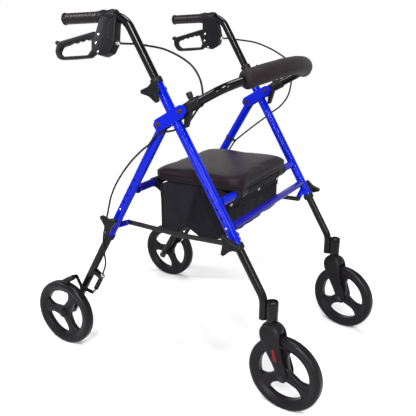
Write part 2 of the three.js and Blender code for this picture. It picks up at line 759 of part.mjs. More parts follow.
// The hinge block on the front bolt: a socket for the bow, a pull knob on top and a stop arm below.
function backHinge() {
  const half = FRAME_R - 0.3;
  const direction = vec(0, -Math.cos(rise), Math.sin(rise));
  const up = vec(0, Math.sin(rise), Math.cos(rise));
  const at = (t, lift = 0) => along(along(HINGE_BOLT, direction, t), up, lift);
  const flat = (t, lift) => {
    const p = at(t, lift);
    return new THREE.Vector2(p.y, p.z);
  };
  const block = new THREE.Shape([flat(0, 10.5), flat(0, -10.5), flat(30, -12), flat(30, 12)]);
  const stop = outline([
    [-66, 738, 2],
    [-84, 742, 4],
    [-80, 726, 6],
    [-70, 693, 5],
    [-60.5, 692, 4],
    [-62, 712, 6],
  ]);
  return cut(
    join(
      rod(outboard(HINGE_BOLT, -half), outboard(HINGE_BOLT, half), 10.5),
      slabX(block, TUBE_X - half, TUBE_X + half),
      rod(at(24.5), at(58), 14.5),
      slabX(stop, TUBE_X - 7, TUBE_X + 7),
      rod(at(36, 12), at(36, 31), 7.5, 10),
    ),
    rod(outboard(HINGE_BOLT, -20), outboard(HINGE_BOLT, 20), 4.6, 8),
    rod(at(BOW.socket - GAP), at(70), BOW.tube + GAP),
  );
}

// ---------- seat and bag ----------
const rectangle = (x, y0, y1, r) => outline([[-x, y0, r], [x, y0, r], [x, y1, r], [-x, y1, r]], 4);
const BOARD = { inset: 10, bottom: 522.6, top: 528 };

function seatPad() {
  const whole = rectangle(SEAT.half, SEAT.front, SEAT.rear, SEAT.corner);
  const room = rectangle(
    SEAT.half - BOARD.inset + GAP,
    SEAT.front + BOARD.inset - GAP,
    SEAT.rear - BOARD.inset + GAP,
    SEAT.corner - BOARD.inset,
  );
  return cut(slabZ(whole, SEAT.bottom, SEAT.top, 8), slabZ(room, SEAT.bottom - 2, BOARD.top + GAP));
}

// The board with the two clips that turn on the front seat tube.
function seatBoard() {
  const plan = rectangle(
    SEAT.half - BOARD.inset,
    SEAT.front + BOARD.inset,
    SEAT.rear - BOARD.inset,
    SEAT.corner - BOARD.inset,
  );
  const clips = [-120, 120].map((x) => {
    const centre = (dx) => vec(x + dx, FRONT_SEAT_TUBE.y, FRONT_SEAT_TUBE.z);
    return cut(rod(centre(-15), centre(15), 15), rod(centre(-16), centre(16), CROSS_R + 0.6));
  });
  const tubeRoom = rod(
    vec(-200, FRONT_SEAT_TUBE.y, FRONT_SEAT_TUBE.z),
    vec(200, FRONT_SEAT_TUBE.y, FRONT_SEAT_TUBE.z),
    CROSS_R + 0.6,
  );
  const clipTops = clips.map((clip) => clip.intersect(box(-200, 200, -180, -120, 480, BOARD.bottom + 2)));
  return cut(join(slabZ(plan, BOARD.bottom, BOARD.top), ...clipTops), tubeRoom);
}

const acrossPipe = (place, half) =>
  pipe(vec(-half, place.y, place.z), vec(half, place.y, place.z), CROSS_R, CROSS_BORE);

function lowerBar() {
  const half = TUBE_X - FRAME_R - GAP;
  const section = outline(
    [
      [LOWER_BAR.y - 11, LOWER_BAR.z - 7, 6.5],
      [LOWER_BAR.y + 11, LOWER_BAR.z - 7, 6.5],
      [LOWER_BAR.y + 11, LOWER_BAR.z + 7, 6.5],
      [LOWER_BAR.y - 11, LOWER_BAR.z + 7, 6.5],
    ],
    3,
  );
  return slabX(section, -half, half);
}

// An open tote: its front half stands higher than its back half, which passes under the seat's board.
function bag() {
  const half = 162;
  const wall = 3;
  const side = outline([
    [-134, 496],
    [-134, 392, 12],
    [-60, 378, 30],
    [60, 366, 14],
    [72, 380, 10],
    [72, 476],
    [-62, 476],
    [-68, 496],
  ]);
  const inside = outline([
    [-134 + wall, 520],
    [-134 + wall, 392 + wall, 10],
    [-60, 378 + wall, 30],
    [60, 366 + wall, 12],
    [72 - wall, 380, 10],
    [72 - wall, 520],
  ]);
  return cut(slabX(side, -half, half), slabX(inside, -half + wall, half - wall));
}

// ---------- brake cables ----------
const CABLE_R = 2.5;
const CABLE_STEPS = 12;
function cable(points) {
  const curve = new THREE.CatmullRomCurve3(points.map((p) => vec(...p)));
  return swept(new Stations(curve.getSpacedPoints(CABLE_STEPS)), CABLE_R, 8);
}

// Each cable in the side's own frame, where x is the distance outboard from the middle.
const CABLES = {
  R: {
    cable_upper: [[263.3, 105, 886], [258, 98.5, 885.5], [248, 92.5, 885], [237.5, 87.5, 884.5],
      [230, 76.5, 883.5], [228.3, 58, 881], [228.5, 8, 874], [229, -38, 858], [229, -72, 838],
      [228.5, -92, 812], [228, -100, 786], [228, -101, 764]],
    cable_middle: [[228, -101, 761], [227.5, -92, 744], [226.5, -77, 724], [226, -62, 705], [227, -46, 692],
      [233, -31, 684], [244, -20, 680], [256, -11, 679], [263.5, -1, 676], [264.5, 12, 668],
      [264.3, 24, 656], [263.5, 34, 644]],
    cable_lower: [[263.5, 37, 641.5], [264, 60, 624], [264, 98, 588], [264, 138, 538], [262, 166, 490],
      [263, 181, 440], [264.5, 192, 400], [264.5, 200, 368], [262, 205, 340], [257, 208, 312],
      [250, 212, 274], [TUBE_X, 229.6, 234]],
  },
  L: {
    cable_upper: [[263.3, 105, 886], [263.3, 88, 886], [262.5, 60, 883], [262, 0, 876], [262, -48, 861],
      [262, -84, 844], [262, -112, 826], [262, -128, 800], [262, -131, 774]],
    cable_middle: [[262, -131, 771], [262.5, -121, 722], [263.5, -97, 687], [263.5, -68, 664],
      [263.5, -47, 647], [262, -12, 620], [256, 24, 590], [250, 55, 563]],
    cable_lower: [[249.5, 57, 560.5], [247, 87, 511], [247, 117, 461], [247, 134, 431], [246, 157, 389],
      [246, 176, 353], [245.5, 190, 320], [245, 205, 282], [TUBE_X, 229.6, 234]],
  },
};

// ---------- assembly ----------
const frontUp = frontDown.clone().negate();
const group = (...children) => {
  const made = new THREE.Group();
  if (children.length) made.add(...children);
  return made;
};

// The handle turns out about the frame tube's own line.
function handleGroup(tag) {
  const made = group(
    toMesh(`handle_tube_${tag}`, handleTube(), BLACK_TUBE),
    toMesh(`grip_${tag}`, grip(), PLASTIC),
    toMesh(`brake_housing_${tag}`, brakeHousing(), PLASTIC),
    toMesh(`brake_lever_${tag}`, brakeLever(), PLASTIC),
  );
  made.applyMatrix4(
    new THREE.Matrix4()
      .makeTranslation(HANDLE_VERTEX)
      .multiply(new THREE.Matrix4().makeRotationAxis(frontUp, radians(-HANDLE_TOE_OUT)))
      .multiply(new THREE.Matrix4().makeTranslation(HANDLE_VERTEX.clone().negate())),
  );
  return made;
}

function casterGroup(tag) {
  const made = group(
    toMesh(`fork_${tag}`, fork(), PLASTIC),
    toMesh(`front_wheel_${tag}`, frontWheel(), WHEEL),
  );
  made.position.set(TUBE_X, STEM_Y, 0);
  made.rotation.z = radians(CASTER_TURN[tag]);
  return made;
}

function sideGroup(tag) {
  const cables = Object.entries(CABLES[tag]).map(([name, points]) =>
    toMesh(`${name}_${tag}`, cable(points), CABLE),
  );
  return group(
    toMesh(`front_tube_${tag}`, frontTube(), BLUE),
    toMesh(`bracket_${tag}`, bracket(), BLUE),
    toMesh(`rear_tube_${tag}`, rearTube(), BLUE),
    toMesh(`rear_cap_${tag}`, rearCap(), PLASTIC),
    toMesh(`handle_collar_${tag}`, collar(FRONT_TOP, frontUp), PLASTIC),
    toMesh(`front_collar_${tag}`, collar(FRONT_BOTTOM, frontDown), PLASTIC),
    toMesh(`rear_collar_${tag}`, collar(REAR_BOTTOM, rearDown), PLASTIC),
    toMesh(`handle_knob_${tag}`, knob(HANDLE_KNOB, -5), PLASTIC),
    toMesh(`front_knob_${tag}`, knob(FRONT_KNOB, 60), PLASTIC),
    toMesh(`rear_knob_${tag}`, knob(REAR_KNOB, 25), PLASTIC),
    toMesh(`front_leg_${tag}`, frontLeg(), BLACK_TUBE),
    toMesh(`rear_leg_${tag}`, rearLeg(), BLACK_TUBE),
    toMesh(`rear_wheel_${tag}`, rearWheel(), WHEEL),
    toMesh(`brake_arm_${tag}`, brakeArm(), STEEL),
    toMesh(`brace_front_${tag}`, braceLink(BRACE_FRONT, BRACE_LAYERS.front, [224, 226]), STEEL),
    toMesh(`brace_rear_${tag}`, braceLink(BRACE_REAR, BRACE_LAYERS.rear, [215.5, 218]), STEEL),
    toMesh(`back_hinge_${tag}`, backHinge(), PLASTIC),
    ...cables,
    handleGroup(tag),
    casterGroup(tag),
  );
}

const left = sideGroup("L");
const right = sideGroup("R");
right.scale.x = -1; // the right side mirrors the left

const rollator = group(
  left,
  right,
  toMesh("front_seat_tube", acrossPipe(FRONT_SEAT_TUBE, TUBE_X - FRAME_R - GAP), BLUE),
  toMesh("rear_cross_tube", acrossPipe(REAR_CROSS_TUBE, TUBE_X - FRAME_R - GAP), BLUE),
  toMesh("lower_crossbar", lowerBar(), BLUE),
  toMesh("seat_pad", seatPad(), VINYL),
  toMesh("seat_board", seatBoard(), PLASTIC),
  toMesh("bag", bag(), CLOTH),
  toMesh("back_tube", backTube(), BLACK_TUBE),
  toMesh("back_pad", backPad(), FOAM),
);

export default rollator;
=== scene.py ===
"""The looks of a folding rollator walker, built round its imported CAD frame. Millimetres inside the shape
functions, metres in Blender. -Y is the way the user walks and +X is the user's left; the right side mirrors
the left."""

import math

import bmesh
import bpy
from mathutils import Matrix, Vector, noise
from mathutils.bvhtree import BVHTree


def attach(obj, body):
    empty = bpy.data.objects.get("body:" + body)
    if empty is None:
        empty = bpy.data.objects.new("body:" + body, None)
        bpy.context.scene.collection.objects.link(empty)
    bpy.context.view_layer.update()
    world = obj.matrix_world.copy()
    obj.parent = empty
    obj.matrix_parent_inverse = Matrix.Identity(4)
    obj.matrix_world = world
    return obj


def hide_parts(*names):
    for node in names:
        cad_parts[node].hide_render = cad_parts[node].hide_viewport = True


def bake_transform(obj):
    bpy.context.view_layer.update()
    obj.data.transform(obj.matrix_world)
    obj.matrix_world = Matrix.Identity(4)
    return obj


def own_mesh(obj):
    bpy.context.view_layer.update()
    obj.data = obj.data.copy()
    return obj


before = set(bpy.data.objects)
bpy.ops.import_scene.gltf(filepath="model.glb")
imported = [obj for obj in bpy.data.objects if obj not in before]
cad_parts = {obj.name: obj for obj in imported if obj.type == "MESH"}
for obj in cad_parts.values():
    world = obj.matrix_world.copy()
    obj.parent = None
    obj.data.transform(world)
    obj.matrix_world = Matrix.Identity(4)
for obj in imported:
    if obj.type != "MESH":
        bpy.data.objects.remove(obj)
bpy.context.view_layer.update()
MM = 0.001

# ---------- driving dimensions, as in the CAD ----------
TUBE_X = 245
FRAME_R = 12.7
LEG_R = 11
CROSS_R = 11
FRONT_TOP = Vector((TUBE_X, 19.5, 800.5))
FRONT_BOTTOM = Vector((TUBE_X, -212, 409.9))
AXLE = Vector((TUBE_X, 349.9, 100))
REAR_LINE = Vector((TUBE_X, 38, 629))
FOLD_PIVOT = Vector((TUBE_X, 9.5, 696))
HINGE_BOLT = Vector((TUBE_X, -54.6, 733))
HANDLE_VERTEX = Vector((TUBE_X, 108, 950))
HANDLE_INSERT = 165
LEG_INSERT = 100
HANDLE_BEND = 55
GRIP_START = 73
GRIP_END = 185
TOE_OUT = math.radians(-4)
BRAKE_LEAN = math.radians(-14)
GRIP_R = 14
WHEEL_R = 100
REAR_WHEEL_X = 284
STEM_Y = -307.8
CASTER_TRAIL = 42
CABLE_R = 2.5
CASTER_TURN = {"L": -12.6, "R": 5.4}
HOLE_PITCH = 25.4
FRONT_SEAT_TUBE = (-152.1, 511)
REAR_CROSS_TUBE = (101.6, 511)
LOWER_BAR = (-187.2, 454.2)
BACK_RISE = math.radians(28)
BRACE_FRONT = (-183, 404)
BRACE_REAR = (146, 405)
BRACE_KNEE = (-10, 399)
BRAKE_PIVOT = (301.6, 182)
GRIP_DROP = math.radians(2.3)

front_down = (FRONT_BOTTOM - FRONT_TOP).normalized()
rear_down = (AXLE - REAR_LINE).normalized()
grip_direction = Vector((0, math.cos(GRIP_DROP), -math.sin(GRIP_DROP)))
brake_forward = Vector((0, rear_down.z, -rear_down.y))
X = Vector((1, 0, 0))
UP = Vector((0, 0, 1))


def front_from_bottom(distance):
    return FRONT_BOTTOM - front_down * distance


def rear_at_z(z):
    return AXLE + rear_down * ((z - AXLE.z) / rear_down.z)


def grip_at(distance):
    return HANDLE_VERTEX + grip_direction * distance


def at(place, x=TUBE_X):
    return Vector((x, place[0], place[1]))


REAR_TOP = rear_at_z(679)
REAR_BOTTOM = rear_at_z(363)
HANDLE_KNOB = FRONT_TOP + front_down * 25
FRONT_KNOB = front_from_bottom(17.5)
REAR_KNOB = REAR_BOTTOM - rear_down * 62
CABLE_STOP = rear_at_z(244) + brake_forward * 36


# ---------- materials ----------
def node(tree, kind, **inputs):
    made = tree.nodes.new(kind)
    for name, value in inputs.items():
        socket = made.inputs[name.replace("_", " ")]
        if isinstance(value, bpy.types.NodeSocket):
            tree.links.new(value, socket)
        else:
            socket.default_value = value
    return made


def mapped(tree, value, **limits):
    """A socket's value brought from one range to another."""
    return node(tree, "ShaderNodeMapRange", Value=value, **limits).outputs["Result"]


def mixed(tree, share, first, second):
    """A colour that goes from first to second with share; first may be a socket."""
    mix = tree.nodes.new("ShaderNodeMix")
    mix.data_type = "RGBA"
    if isinstance(first, bpy.types.NodeSocket):
        tree.links.new(first, mix.inputs["A"])
    else:
        mix.inputs["A"].default_value = (*first, 1)
    mix.inputs["B"].default_value = (*second, 1)
    tree.links.new(share, mix.inputs["Factor"])
    return mix.outputs["Result"]


def surface(name, colour, roughness, metallic=0.0, coat=0.0, tone=0.12, grain=(), wear=0.0, sheen=0.0,
            gloss=0.5):
    """A Principled material whose colour drifts by tone, whose roughness varies, and whose bump adds up
    grain's (kind, scale, strength) layers. wear lightens its convex edges; gloss is its specular level."""
    material = bpy.data.materials.new(f"{name}_finish")
    material.use_nodes = True
    tree = material.node_tree
    bsdf = tree.nodes["Principled BSDF"]
    place = node(tree, "ShaderNodeTexCoord").outputs["Object"]
    drift = node(tree, "ShaderNodeTexNoise", Vector=place, Scale=22.0, Detail=5.0).outputs["Fac"]
    dark = [c * (1 - tone) for c in colour]
    light = [min(1, c * (1 + tone) + 0.004 * tone) for c in colour]
    out = mixed(tree, drift, dark, light)
    if wear:
        edge = node(tree, "ShaderNodeNewGeometry").outputs["Pointiness"]
        share = mapped(tree, edge, From_Min=0.53, From_Max=0.66, To_Max=wear)
        out = mixed(tree, share, out, [min(1, c * 1.6 + 0.05) for c in colour])
    fine = node(tree, "ShaderNodeTexNoise", Vector=place, Scale=160.0, Detail=3.0).outputs["Fac"]
    rough = mapped(tree, fine, To_Min=roughness * 0.85, To_Max=roughness * 1.15)
    tree.links.new(out, bsdf.inputs["Base Color"])
    tree.links.new(rough, bsdf.inputs["Roughness"])
    levels = {"Metallic": metallic, "Specular IOR Level": gloss, "Coat Weight": coat, "Coat Roughness": 0.1,
              "Sheen Weight": sheen}
    for socket, level in levels.items():
        bsdf.inputs[socket].default_value = level
    normal = None
    for kind, scale, strength in grain:
        if kind == "noise":
            height = node(tree, "ShaderNodeTexNoise", Vector=place, Scale=scale, Detail=4.0).outputs["Fac"]
        elif kind == "pebble":
            height = node(tree, "ShaderNodeTexVoronoi", Vector=place, Scale=scale).outputs["Distance"]
        else:
            height = weave(tree, place, scale)
        bump = node(tree, "ShaderNodeBump", Height=height, Strength=strength, Distance=0.0006)
        if normal:
            tree.links.new(normal, bump.inputs["Normal"])
        normal = bump.outputs["Normal"]
    if normal:
        tree.links.new(normal, bsdf.inputs["Normal"])
    return material


def weave(tree, place, scale):
    """Crossed threads: the larger of two waves set square to each other, and a third added to it."""
    waves = []
    for turn in ((0, 0, 0.4), (0, 0, 0.4 + math.pi / 2), (0, math.pi / 2, 0.2)):
        turned = node(tree, "ShaderNodeMapping", Vector=place, Rotation=turn).outputs["Vector"]
        wave = node(tree, "ShaderNodeTexWave", Vector=turned, Scale=scale, Distortion=0.6)
        waves.append(wave.outputs["Fac"])
    out = waves[0]
    for operation, wave in (("MAXIMUM", waves[1]), ("ADD", waves[2])):
        both = node(tree, "ShaderNodeMath")
        both.operation = operation
        tree.links.new(out, both.inputs[0])
        tree.links.new(wave, both.inputs[1])
        out = both.outputs[0]
    return out


BLUE = surface("blue_paint", (0.0, 0.005, 0.26), 0.16, coat=0.2, tone=0.08, gloss=0.03)
DARK_BLUE = surface("dark_blue_paint", (0.004, 0.004, 0.10), 0.26, coat=0.1, tone=0.1,
                    grain=[("noise", 420, 0.05)], gloss=0.06)
BAR_BLUE = surface("bar_paint", (0.006, 0.005, 0.16), 0.3, coat=0.1, tone=0.12,
                   grain=[("noise", 420, 0.05)], gloss=0.08)
BLACK_PAINT = surface("black_paint", (0.0022, 0.0021, 0.0026), 0.14, coat=0.2, tone=0.2, gloss=0.05)
PLASTIC = surface("black_plastic", (0.0030, 0.0027, 0.0036), 0.42, tone=0.2, grain=[("noise", 900, 0.25)],
                  wear=0.15, gloss=0.11)
TYRE = surface("wheel_pvc", (0.0030, 0.0024, 0.0034), 0.32, tone=0.25, grain=[("noise", 700, 0.15)],
               wear=0.1, gloss=0.12)
GRIP = surface("grip_plastic", (0.0065, 0.0042, 0.0055), 0.3, tone=0.25, grain=[("pebble", 420, 0.5)],
               gloss=0.15)
VINYL = surface("vinyl", (0.0075, 0.0048, 0.0063), 0.36, tone=0.12, gloss=0.06,
                grain=[("pebble", 520, 0.35), ("noise", 60, 0.15)])
FOAM = surface("foam_cover", (0.0089, 0.0063, 0.0075), 0.6, tone=0.2, sheen=0.015, gloss=0.07,
               grain=[("noise", 700, 0.45), ("noise", 40, 0.3)])
CLOTH = surface("bag_cloth", (0.0036, 0.0033, 0.0058), 0.7, tone=0.35, sheen=0.015, gloss=0.08,
                grain=[("weave", 420, 0.5), ("noise", 25, 0.35)])
CABLE = surface("cable_jacket", (0.0030, 0.0030, 0.0035), 0.38, tone=0.2, grain=[("noise", 600, 0.15)],
                gloss=0.12)
BLACK_STEEL = surface("black_steel", (0.0042, 0.0040, 0.0048), 0.32, coat=0.1, tone=0.2,
                      grain=[("noise", 500, 0.1)], wear=0.2, gloss=0.14)
STEEL = surface("bright_steel", (0.50, 0.49, 0.48), 0.25, 1.0, tone=0.08, grain=[("noise", 500, 0.1)])
BRONZE = surface("bolt_head", (0.032, 0.013, 0.009), 0.35, 0.3, tone=0.2, grain=[("noise", 500, 0.1)],
                 gloss=0.15)
RED = surface("red_reflector", (0.085, 0.0015, 0.004), 0.2, coat=0.15, tone=0.2,
              grain=[("pebble", 500, 0.5)], gloss=0.1)
HOLE = surface("hole_shadow", (0.0008, 0.0008, 0.003), 0.6, tone=0.2, gloss=0.03)


# ---------- shapes: each returns (points, faces) ----------
def ring_at(centre, side, over, radius, sides):
    step = 2 * math.pi / sides
    return [centre + side * (radius * math.cos(i * step)) + over * (radius * math.sin(i * step))
            for i in range(sides)]


def sweep(points, radius, sides=28, radii=None):
    """A round bar along points, with radii one per point where it changes."""
    points = [Vector(p) for p in points]
    tangents = []
    for i, p in enumerate(points):
        ahead = points[min(i + 1, len(points) - 1)]
        behind = points[max(i - 1, 0)]
        tangents.append((ahead - behind).normalized())
    side = tangents[0].orthogonal().normalized()
    verts = []
    for i, (p, t) in enumerate(zip(points, tangents)):
        side = (side - t * side.dot(t)).normalized()
        verts += ring_at(p, side, t.cross(side), radii[i] if radii else radius, sides)
    faces = []
    for i in range(len(points) - 1):
        for k in range(sides):
            a = i * sides + k
            b = i * sides + (k + 1) % sides
            faces.append((a, b, b + sides, a + sides))
    faces.append(tuple(reversed(range(sides))))
    faces.append(tuple(range(len(verts) - sides, len(verts))))
    return verts, faces


def rod(start, end, radius, sides=24, bevel=0.0):
    """A straight round bar, with its end edges rounded by bevel."""
    start, end = Vector(start), Vector(end)
    if not bevel:
        return sweep([start, end], radius, sides)
    step = (end - start).normalized() * bevel
    points = [start, start + step * 0.3, start + step, end - step, end - step * 0.3, end]
    radii = [radius - bevel, radius - bevel * 0.3, radius]
    return sweep(points, radius, sides, [*radii, *reversed(radii)])


def mirrored(half):
    """A closed profile, from the half of it that comes before distance 0."""
    return [*half, *((radius, -distance) for radius, distance in reversed(half)), half[0]]


def lathe(profile, origin, direction, segments=40):
    """A solid of revolution. profile holds (radius, distance) pairs; one that closes on itself is a ring."""
    direction = Vector(direction).normalized()
    side = direction.orthogonal().normalized()
    over = direction.cross(side)
    verts = []
    for radius, distance in profile:
        verts += ring_at(Vector(origin) + direction * distance, side, over, max(radius, 0.01), segments)
    closed = profile[0] == profile[-1]
    rows = len(profile) - 1
    if closed:
        verts = verts[:-segments]
    faces = []
    for i in range(rows):
        for k in range(segments):
            a = i * segments
            b = ((i + 1) % rows if closed else i + 1) * segments
            n = (k + 1) % segments
            faces.append((a + k, a + n, b + n, b + k))
    if not closed:
        faces.append(tuple(reversed(range(segments))))
        faces.append(tuple(range(len(verts) - segments, len(verts))))
    return verts, faces


def outline(corners, steps=6):
    """A closed outline; each corner is (u, v) or (u, v, radius)."""
    shape = []
    count = len(corners)
    for i, corner in enumerate(corners):
        here = Vector(corner[:2])
        radius = corner[2] if len(corner) > 2 else 0
        if not radius:
            shape.append(here)
            continue
        back = (Vector(corners[i - 1][:2]) - here).normalized()
        ahead = (Vector(corners[(i + 1) % count][:2]) - here).normalized()
        half = back.angle(ahead) / 2
        centre = here + (back + ahead).normalized() * (radius / math.sin(half))
        start = here + back * (radius / math.tan(half)) - centre
        end = here + ahead * (radius / math.tan(half)) - centre
        turn = math.atan2(start.x * end.y - start.y * end.x, start.dot(end))
        for k in range(steps + 1):
            a = turn * k / steps
            shape.append(centre + Vector((start.x * math.cos(a) - start.y * math.sin(a),
                                          start.x * math.sin(a) + start.y * math.cos(a))))
    return shape


def slab(loops, low, high, bevel=1.5, plane="YZ"):
    """Outlines in a plane, filled but for their holes, made thick from low to high, with rounded edges."""
    curve = bpy.data.curves.new("slab", "CURVE")
    curve.dimensions = "2D"
    curve.fill_mode = "BOTH"
    curve.extrude = (high - low) / 2 - bevel
    curve.bevel_depth = bevel
    curve.bevel_resolution = 2
    curve.offset = -bevel
    for loop in loops:
        spline = curve.splines.new("POLY")
        spline.points.add(len(loop) - 1)
        for point, place in zip(spline.points, loop):
            point.co = (place[0], place[1], 0, 1)
        spline.use_cyclic_u = True
    holder = bpy.data.objects.new("slab", curve)
    bpy.context.scene.collection.objects.link(holder)
    mesh = bpy.data.meshes.new_from_object(holder.evaluated_get(bpy.context.evaluated_depsgraph_get()))
    bpy.data.objects.remove(holder)
    middle = (low + high) / 2
    place = {
        "YZ": lambda c: Vector((c.z + middle, c.x, c.y)),
        "XY": lambda c: Vector((c.x, c.y, c.z + middle)),
    }[plane]
    verts = [place(v.co) for v in mesh.vertices]
    faces = [tuple(p.vertices) for p in mesh.polygons]
    bpy.data.meshes.remove(mesh)
    return verts, faces


def pebble(centre, half, power=0.6, rings=20, segments=32):
    """A rounded block: an ellipsoid pushed out towards its box."""
    verts = []
    curl = lambda v: math.copysign(abs(v) ** power, v)
    for i in range(rings + 1):
        a = math.pi * i / rings
        for k in range(segments):
            b = 2 * math.pi * k / segments
            flat = curl(math.sin(a))
            verts.append(Vector((centre[0] + half[0] * flat * curl(math.cos(b)),
                                 centre[1] + half[1] * flat * curl(math.sin(b)),
                                 centre[2] + half[2] * curl(math.cos(a)))))
    faces = []
    for i in range(rings):
        for k in range(segments):
            n = (k + 1) % segments
            row, below = i * segments, (i + 1) * segments
            faces.append((row + k, below + k, below + n, row + n))
    return verts, faces


def bent(corners, radius, steps=10):
    """Points along straight runs joined by arcs."""
    corners = [Vector(c) for c in corners]
    path = [corners[0]]
    for before, here, after in zip(corners, corners[1:], corners[2:]):
        into = (here - before).normalized()
        out = (after - here).normalized()
        angle = into.angle(out)
        start = here - into * (radius * math.tan(angle / 2))
        normal = (out - into * out.dot(into)).normalized()
        for k in range(steps + 1):
            a = angle * k / steps
            path.append(start + into * (radius * math.sin(a)) + normal * (radius * (1 - math.cos(a))))
    return path + [corners[-1]]


def spline(points, steps=8):
    """A smooth line through the points."""
    points = [Vector(p) for p in points]
    ends = [points[0] * 2 - points[1], *points, points[-1] * 2 - points[-2]]
    line = []
    for a, b, c, d in zip(ends, ends[1:], ends[2:], ends[3:]):
        for k in range(steps):
            t = k / steps
            line.append(0.5 * (2 * b + (c - a) * t + (2 * a - 5 * b + 4 * c - d) * t * t
                               + (3 * b - a - 3 * c + d) * t ** 3))
    return line + [points[-1]]


# ---------- pieces ----------
class Side:
    """Where the left side's shapes go: in place for L, mirrored for R, after a turn if one is given."""

    def __init__(self, tag, turn=None):
        self.tag = tag
        self.turn = turn or Matrix.Identity(4)

    def place(self, point):
        moved = self.turn @ point
        return Vector((-moved.x, moved.y, moved.z)) if self.tag == "R" else moved


def piece(name, parts, material, body, stands_for=(), side=None, sharp=38):
    """One mesh from several closed shapes, put on a body. Faces point out."""
    mesh = bpy.data.meshes.new(name)
    verts, faces = [], []
    for part_verts, part_faces in parts:
        base = len(verts)
        verts += [(side.place(v) if side else v) * MM for v in part_verts]
        faces += [[i + base for i in face] for face in part_faces]
    mesh.from_pydata(verts, [], faces)
    shape = bmesh.new()
    shape.from_mesh(mesh)
    bmesh.ops.remove_doubles(shape, verts=shape.verts, dist=2e-6)
    bmesh.ops.recalc_face_normals(shape, faces=shape.faces)
    shape.to_mesh(mesh)
    shape.free()
    mesh.polygons.foreach_set("use_smooth", [True] * len(mesh.polygons))
    mesh.set_sharp_from_angle(angle=math.radians(sharp))
    mesh.materials.append(material)
    made = bpy.data.objects.new(name, mesh)
    bpy.context.scene.collection.objects.link(made)
    if body:
        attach(made, body)
    if stands_for:
        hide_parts(*stands_for)
    return made


def skin(name, parts, material, body, side, sharp=38):
    """A side's finer piece for the CAD node of the same name."""
    tag = side.tag
    return piece(f"{name}_skin_{tag}", parts, material, body, [f"{name}_{tag}"], side, sharp)


SLOTS = {name: name for name in (
        "blue_paint", "dark_blue_paint", "black_paint", "black_plastic", "wheel_pvc", "grip_plastic",
        "vinyl", "foam_cover", "bag_cloth", "cable_jacket", "black_steel")}
SLOTS.update(bright_steel="black_steel", bolt_head="black_steel", red_reflector="black_plastic",
             hole_shadow="black_paint", bar_paint="blue_paint")


# ---------- side frame ----------
def out_from(point, distance):
    return point + X * distance


def boss(place):
    """The six-sided nut on a tube's inboard wall."""
    return rod(out_from(place, -18), out_from(place, -12), 7, 6)


def brace_plate(tube_point, pivot):
    """The ear that reaches from a tube to a brace pivot, and its weld to the tube."""
    reach = Vector((pivot[0] - tube_point.y, pivot[1] - tube_point.z)).normalized()
    side = Vector((-reach.y, reach.x)) * 8
    here = Vector((tube_point.y, tube_point.z)) - reach * 6
    there = Vector(pivot) + reach * 7
    ear = outline([(*(here + side), 5), (*(here - side), 5), (*(there - side), 6), (*(there + side), 6)])
    return [
        slab([ear], 225.5, 228.5, 0.6),
        rod(out_from(tube_point, -19), out_from(tube_point, -12), 7, 20),
    ]


def front_tube(side, body):
    parts = [rod(FRONT_TOP, FRONT_BOTTOM, FRAME_R, 40), boss(HANDLE_KNOB), boss(FRONT_KNOB)]
    parts += brace_plate(front_from_bottom(30), BRACE_FRONT)
    skin("front_tube", parts, BLUE, body, side)
    adjustment(f"front_{side.tag}", front_from_bottom, 55, side, body)


def rear_tube(side, body):
    parts = [rod(REAR_TOP, REAR_BOTTOM, FRAME_R, 40), boss(REAR_KNOB)]
    parts += brace_plate(rear_at_z(392), BRACE_REAR)
    skin("rear_tube", parts, BLUE, body, side)
    adjustment(f"rear_{side.tag}", lambda d: REAR_BOTTOM - rear_down * d, 106, side, body)


def adjustment(name, from_bottom, first, side, body):
    """Five height holes with rims, and the spring button in the lowest."""
    places = [from_bottom(first + i * HOLE_PITCH) for i in range(5)]
    holes = [lathe([(0, 12.75), (3.1, 12.75), (3.4, 12.2)], p, X, 20) for p in places[1:]]
    piece(f"holes_{name}", holes, HOLE, body, side=side)
    button = lathe([(0, 15.2), (1.6, 15), (2.6, 14.1), (2.9, 12.2)], places[0], X, 20)
    piece(f"button_{name}", [button], STEEL, body, side=side)


def bracket(side, body):
    """Two cheeks on a clamp round the front tube, with the bolts of the fold and of the back bow."""
    rise = math.atan2(HINGE_BOLT.z - FOLD_PIVOT.z, FOLD_PIVOT.y - HINGE_BOLT.y)
    corners = [(-14, 4, 9), (-11, -18.5, 8), (80, -17, 10), (95, -6, 9), (93, 8, 8), (80, 13.5, 8),
               (-2, 13.5, 12)]
    cheek = outline([
        (FOLD_PIVOT.y - u * math.cos(rise) + v * math.sin(rise),
         FOLD_PIVOT.z + u * math.sin(rise) + v * math.cos(rise), r)
        for u, v, r in corners
    ])
    parts = [
        slab([cheek], TUBE_X + 13.1, TUBE_X + 15.5, 0.9),
        slab([cheek], TUBE_X - 15.5, TUBE_X - 13.1, 0.9),
        rod(FRONT_TOP + front_down * 81, FRONT_TOP + front_down * 113, 15.4, 36, 1),
    ]
    skin("bracket", parts, BLUE, body, side)
    bolts = []
    head = [(0, 19.2), (2.2, 19.0), (2.4, 17.6), (4.2, 18.2), (6.2, 16.8), (6.6, 15.4)]
    for place in (FOLD_PIVOT, HINGE_BOLT):
        bolts.append(lathe(head, place, X, 24))
        bolts.append(rod(out_from(place, -19.5), out_from(place, 15), 4, 16))
        bolts.append(rod(out_from(place, -19), out_from(place, -15), 6.4, 6))
    piece(f"bracket_bolts_{side.tag}", bolts, BRONZE, body, side=side)


def rear_cap(side, body):
    shoulder = REAR_TOP - rear_down * 0.3
    parts = [
        rod(out_from(FOLD_PIVOT, -12.3), out_from(FOLD_PIVOT, 12.3), 11.5, 36, 1.2),
        rod(shoulder, shoulder - rear_down * 15, 12.6, 36, 1),
    ]
    skin("rear_cap", parts, PLASTIC, body, side)


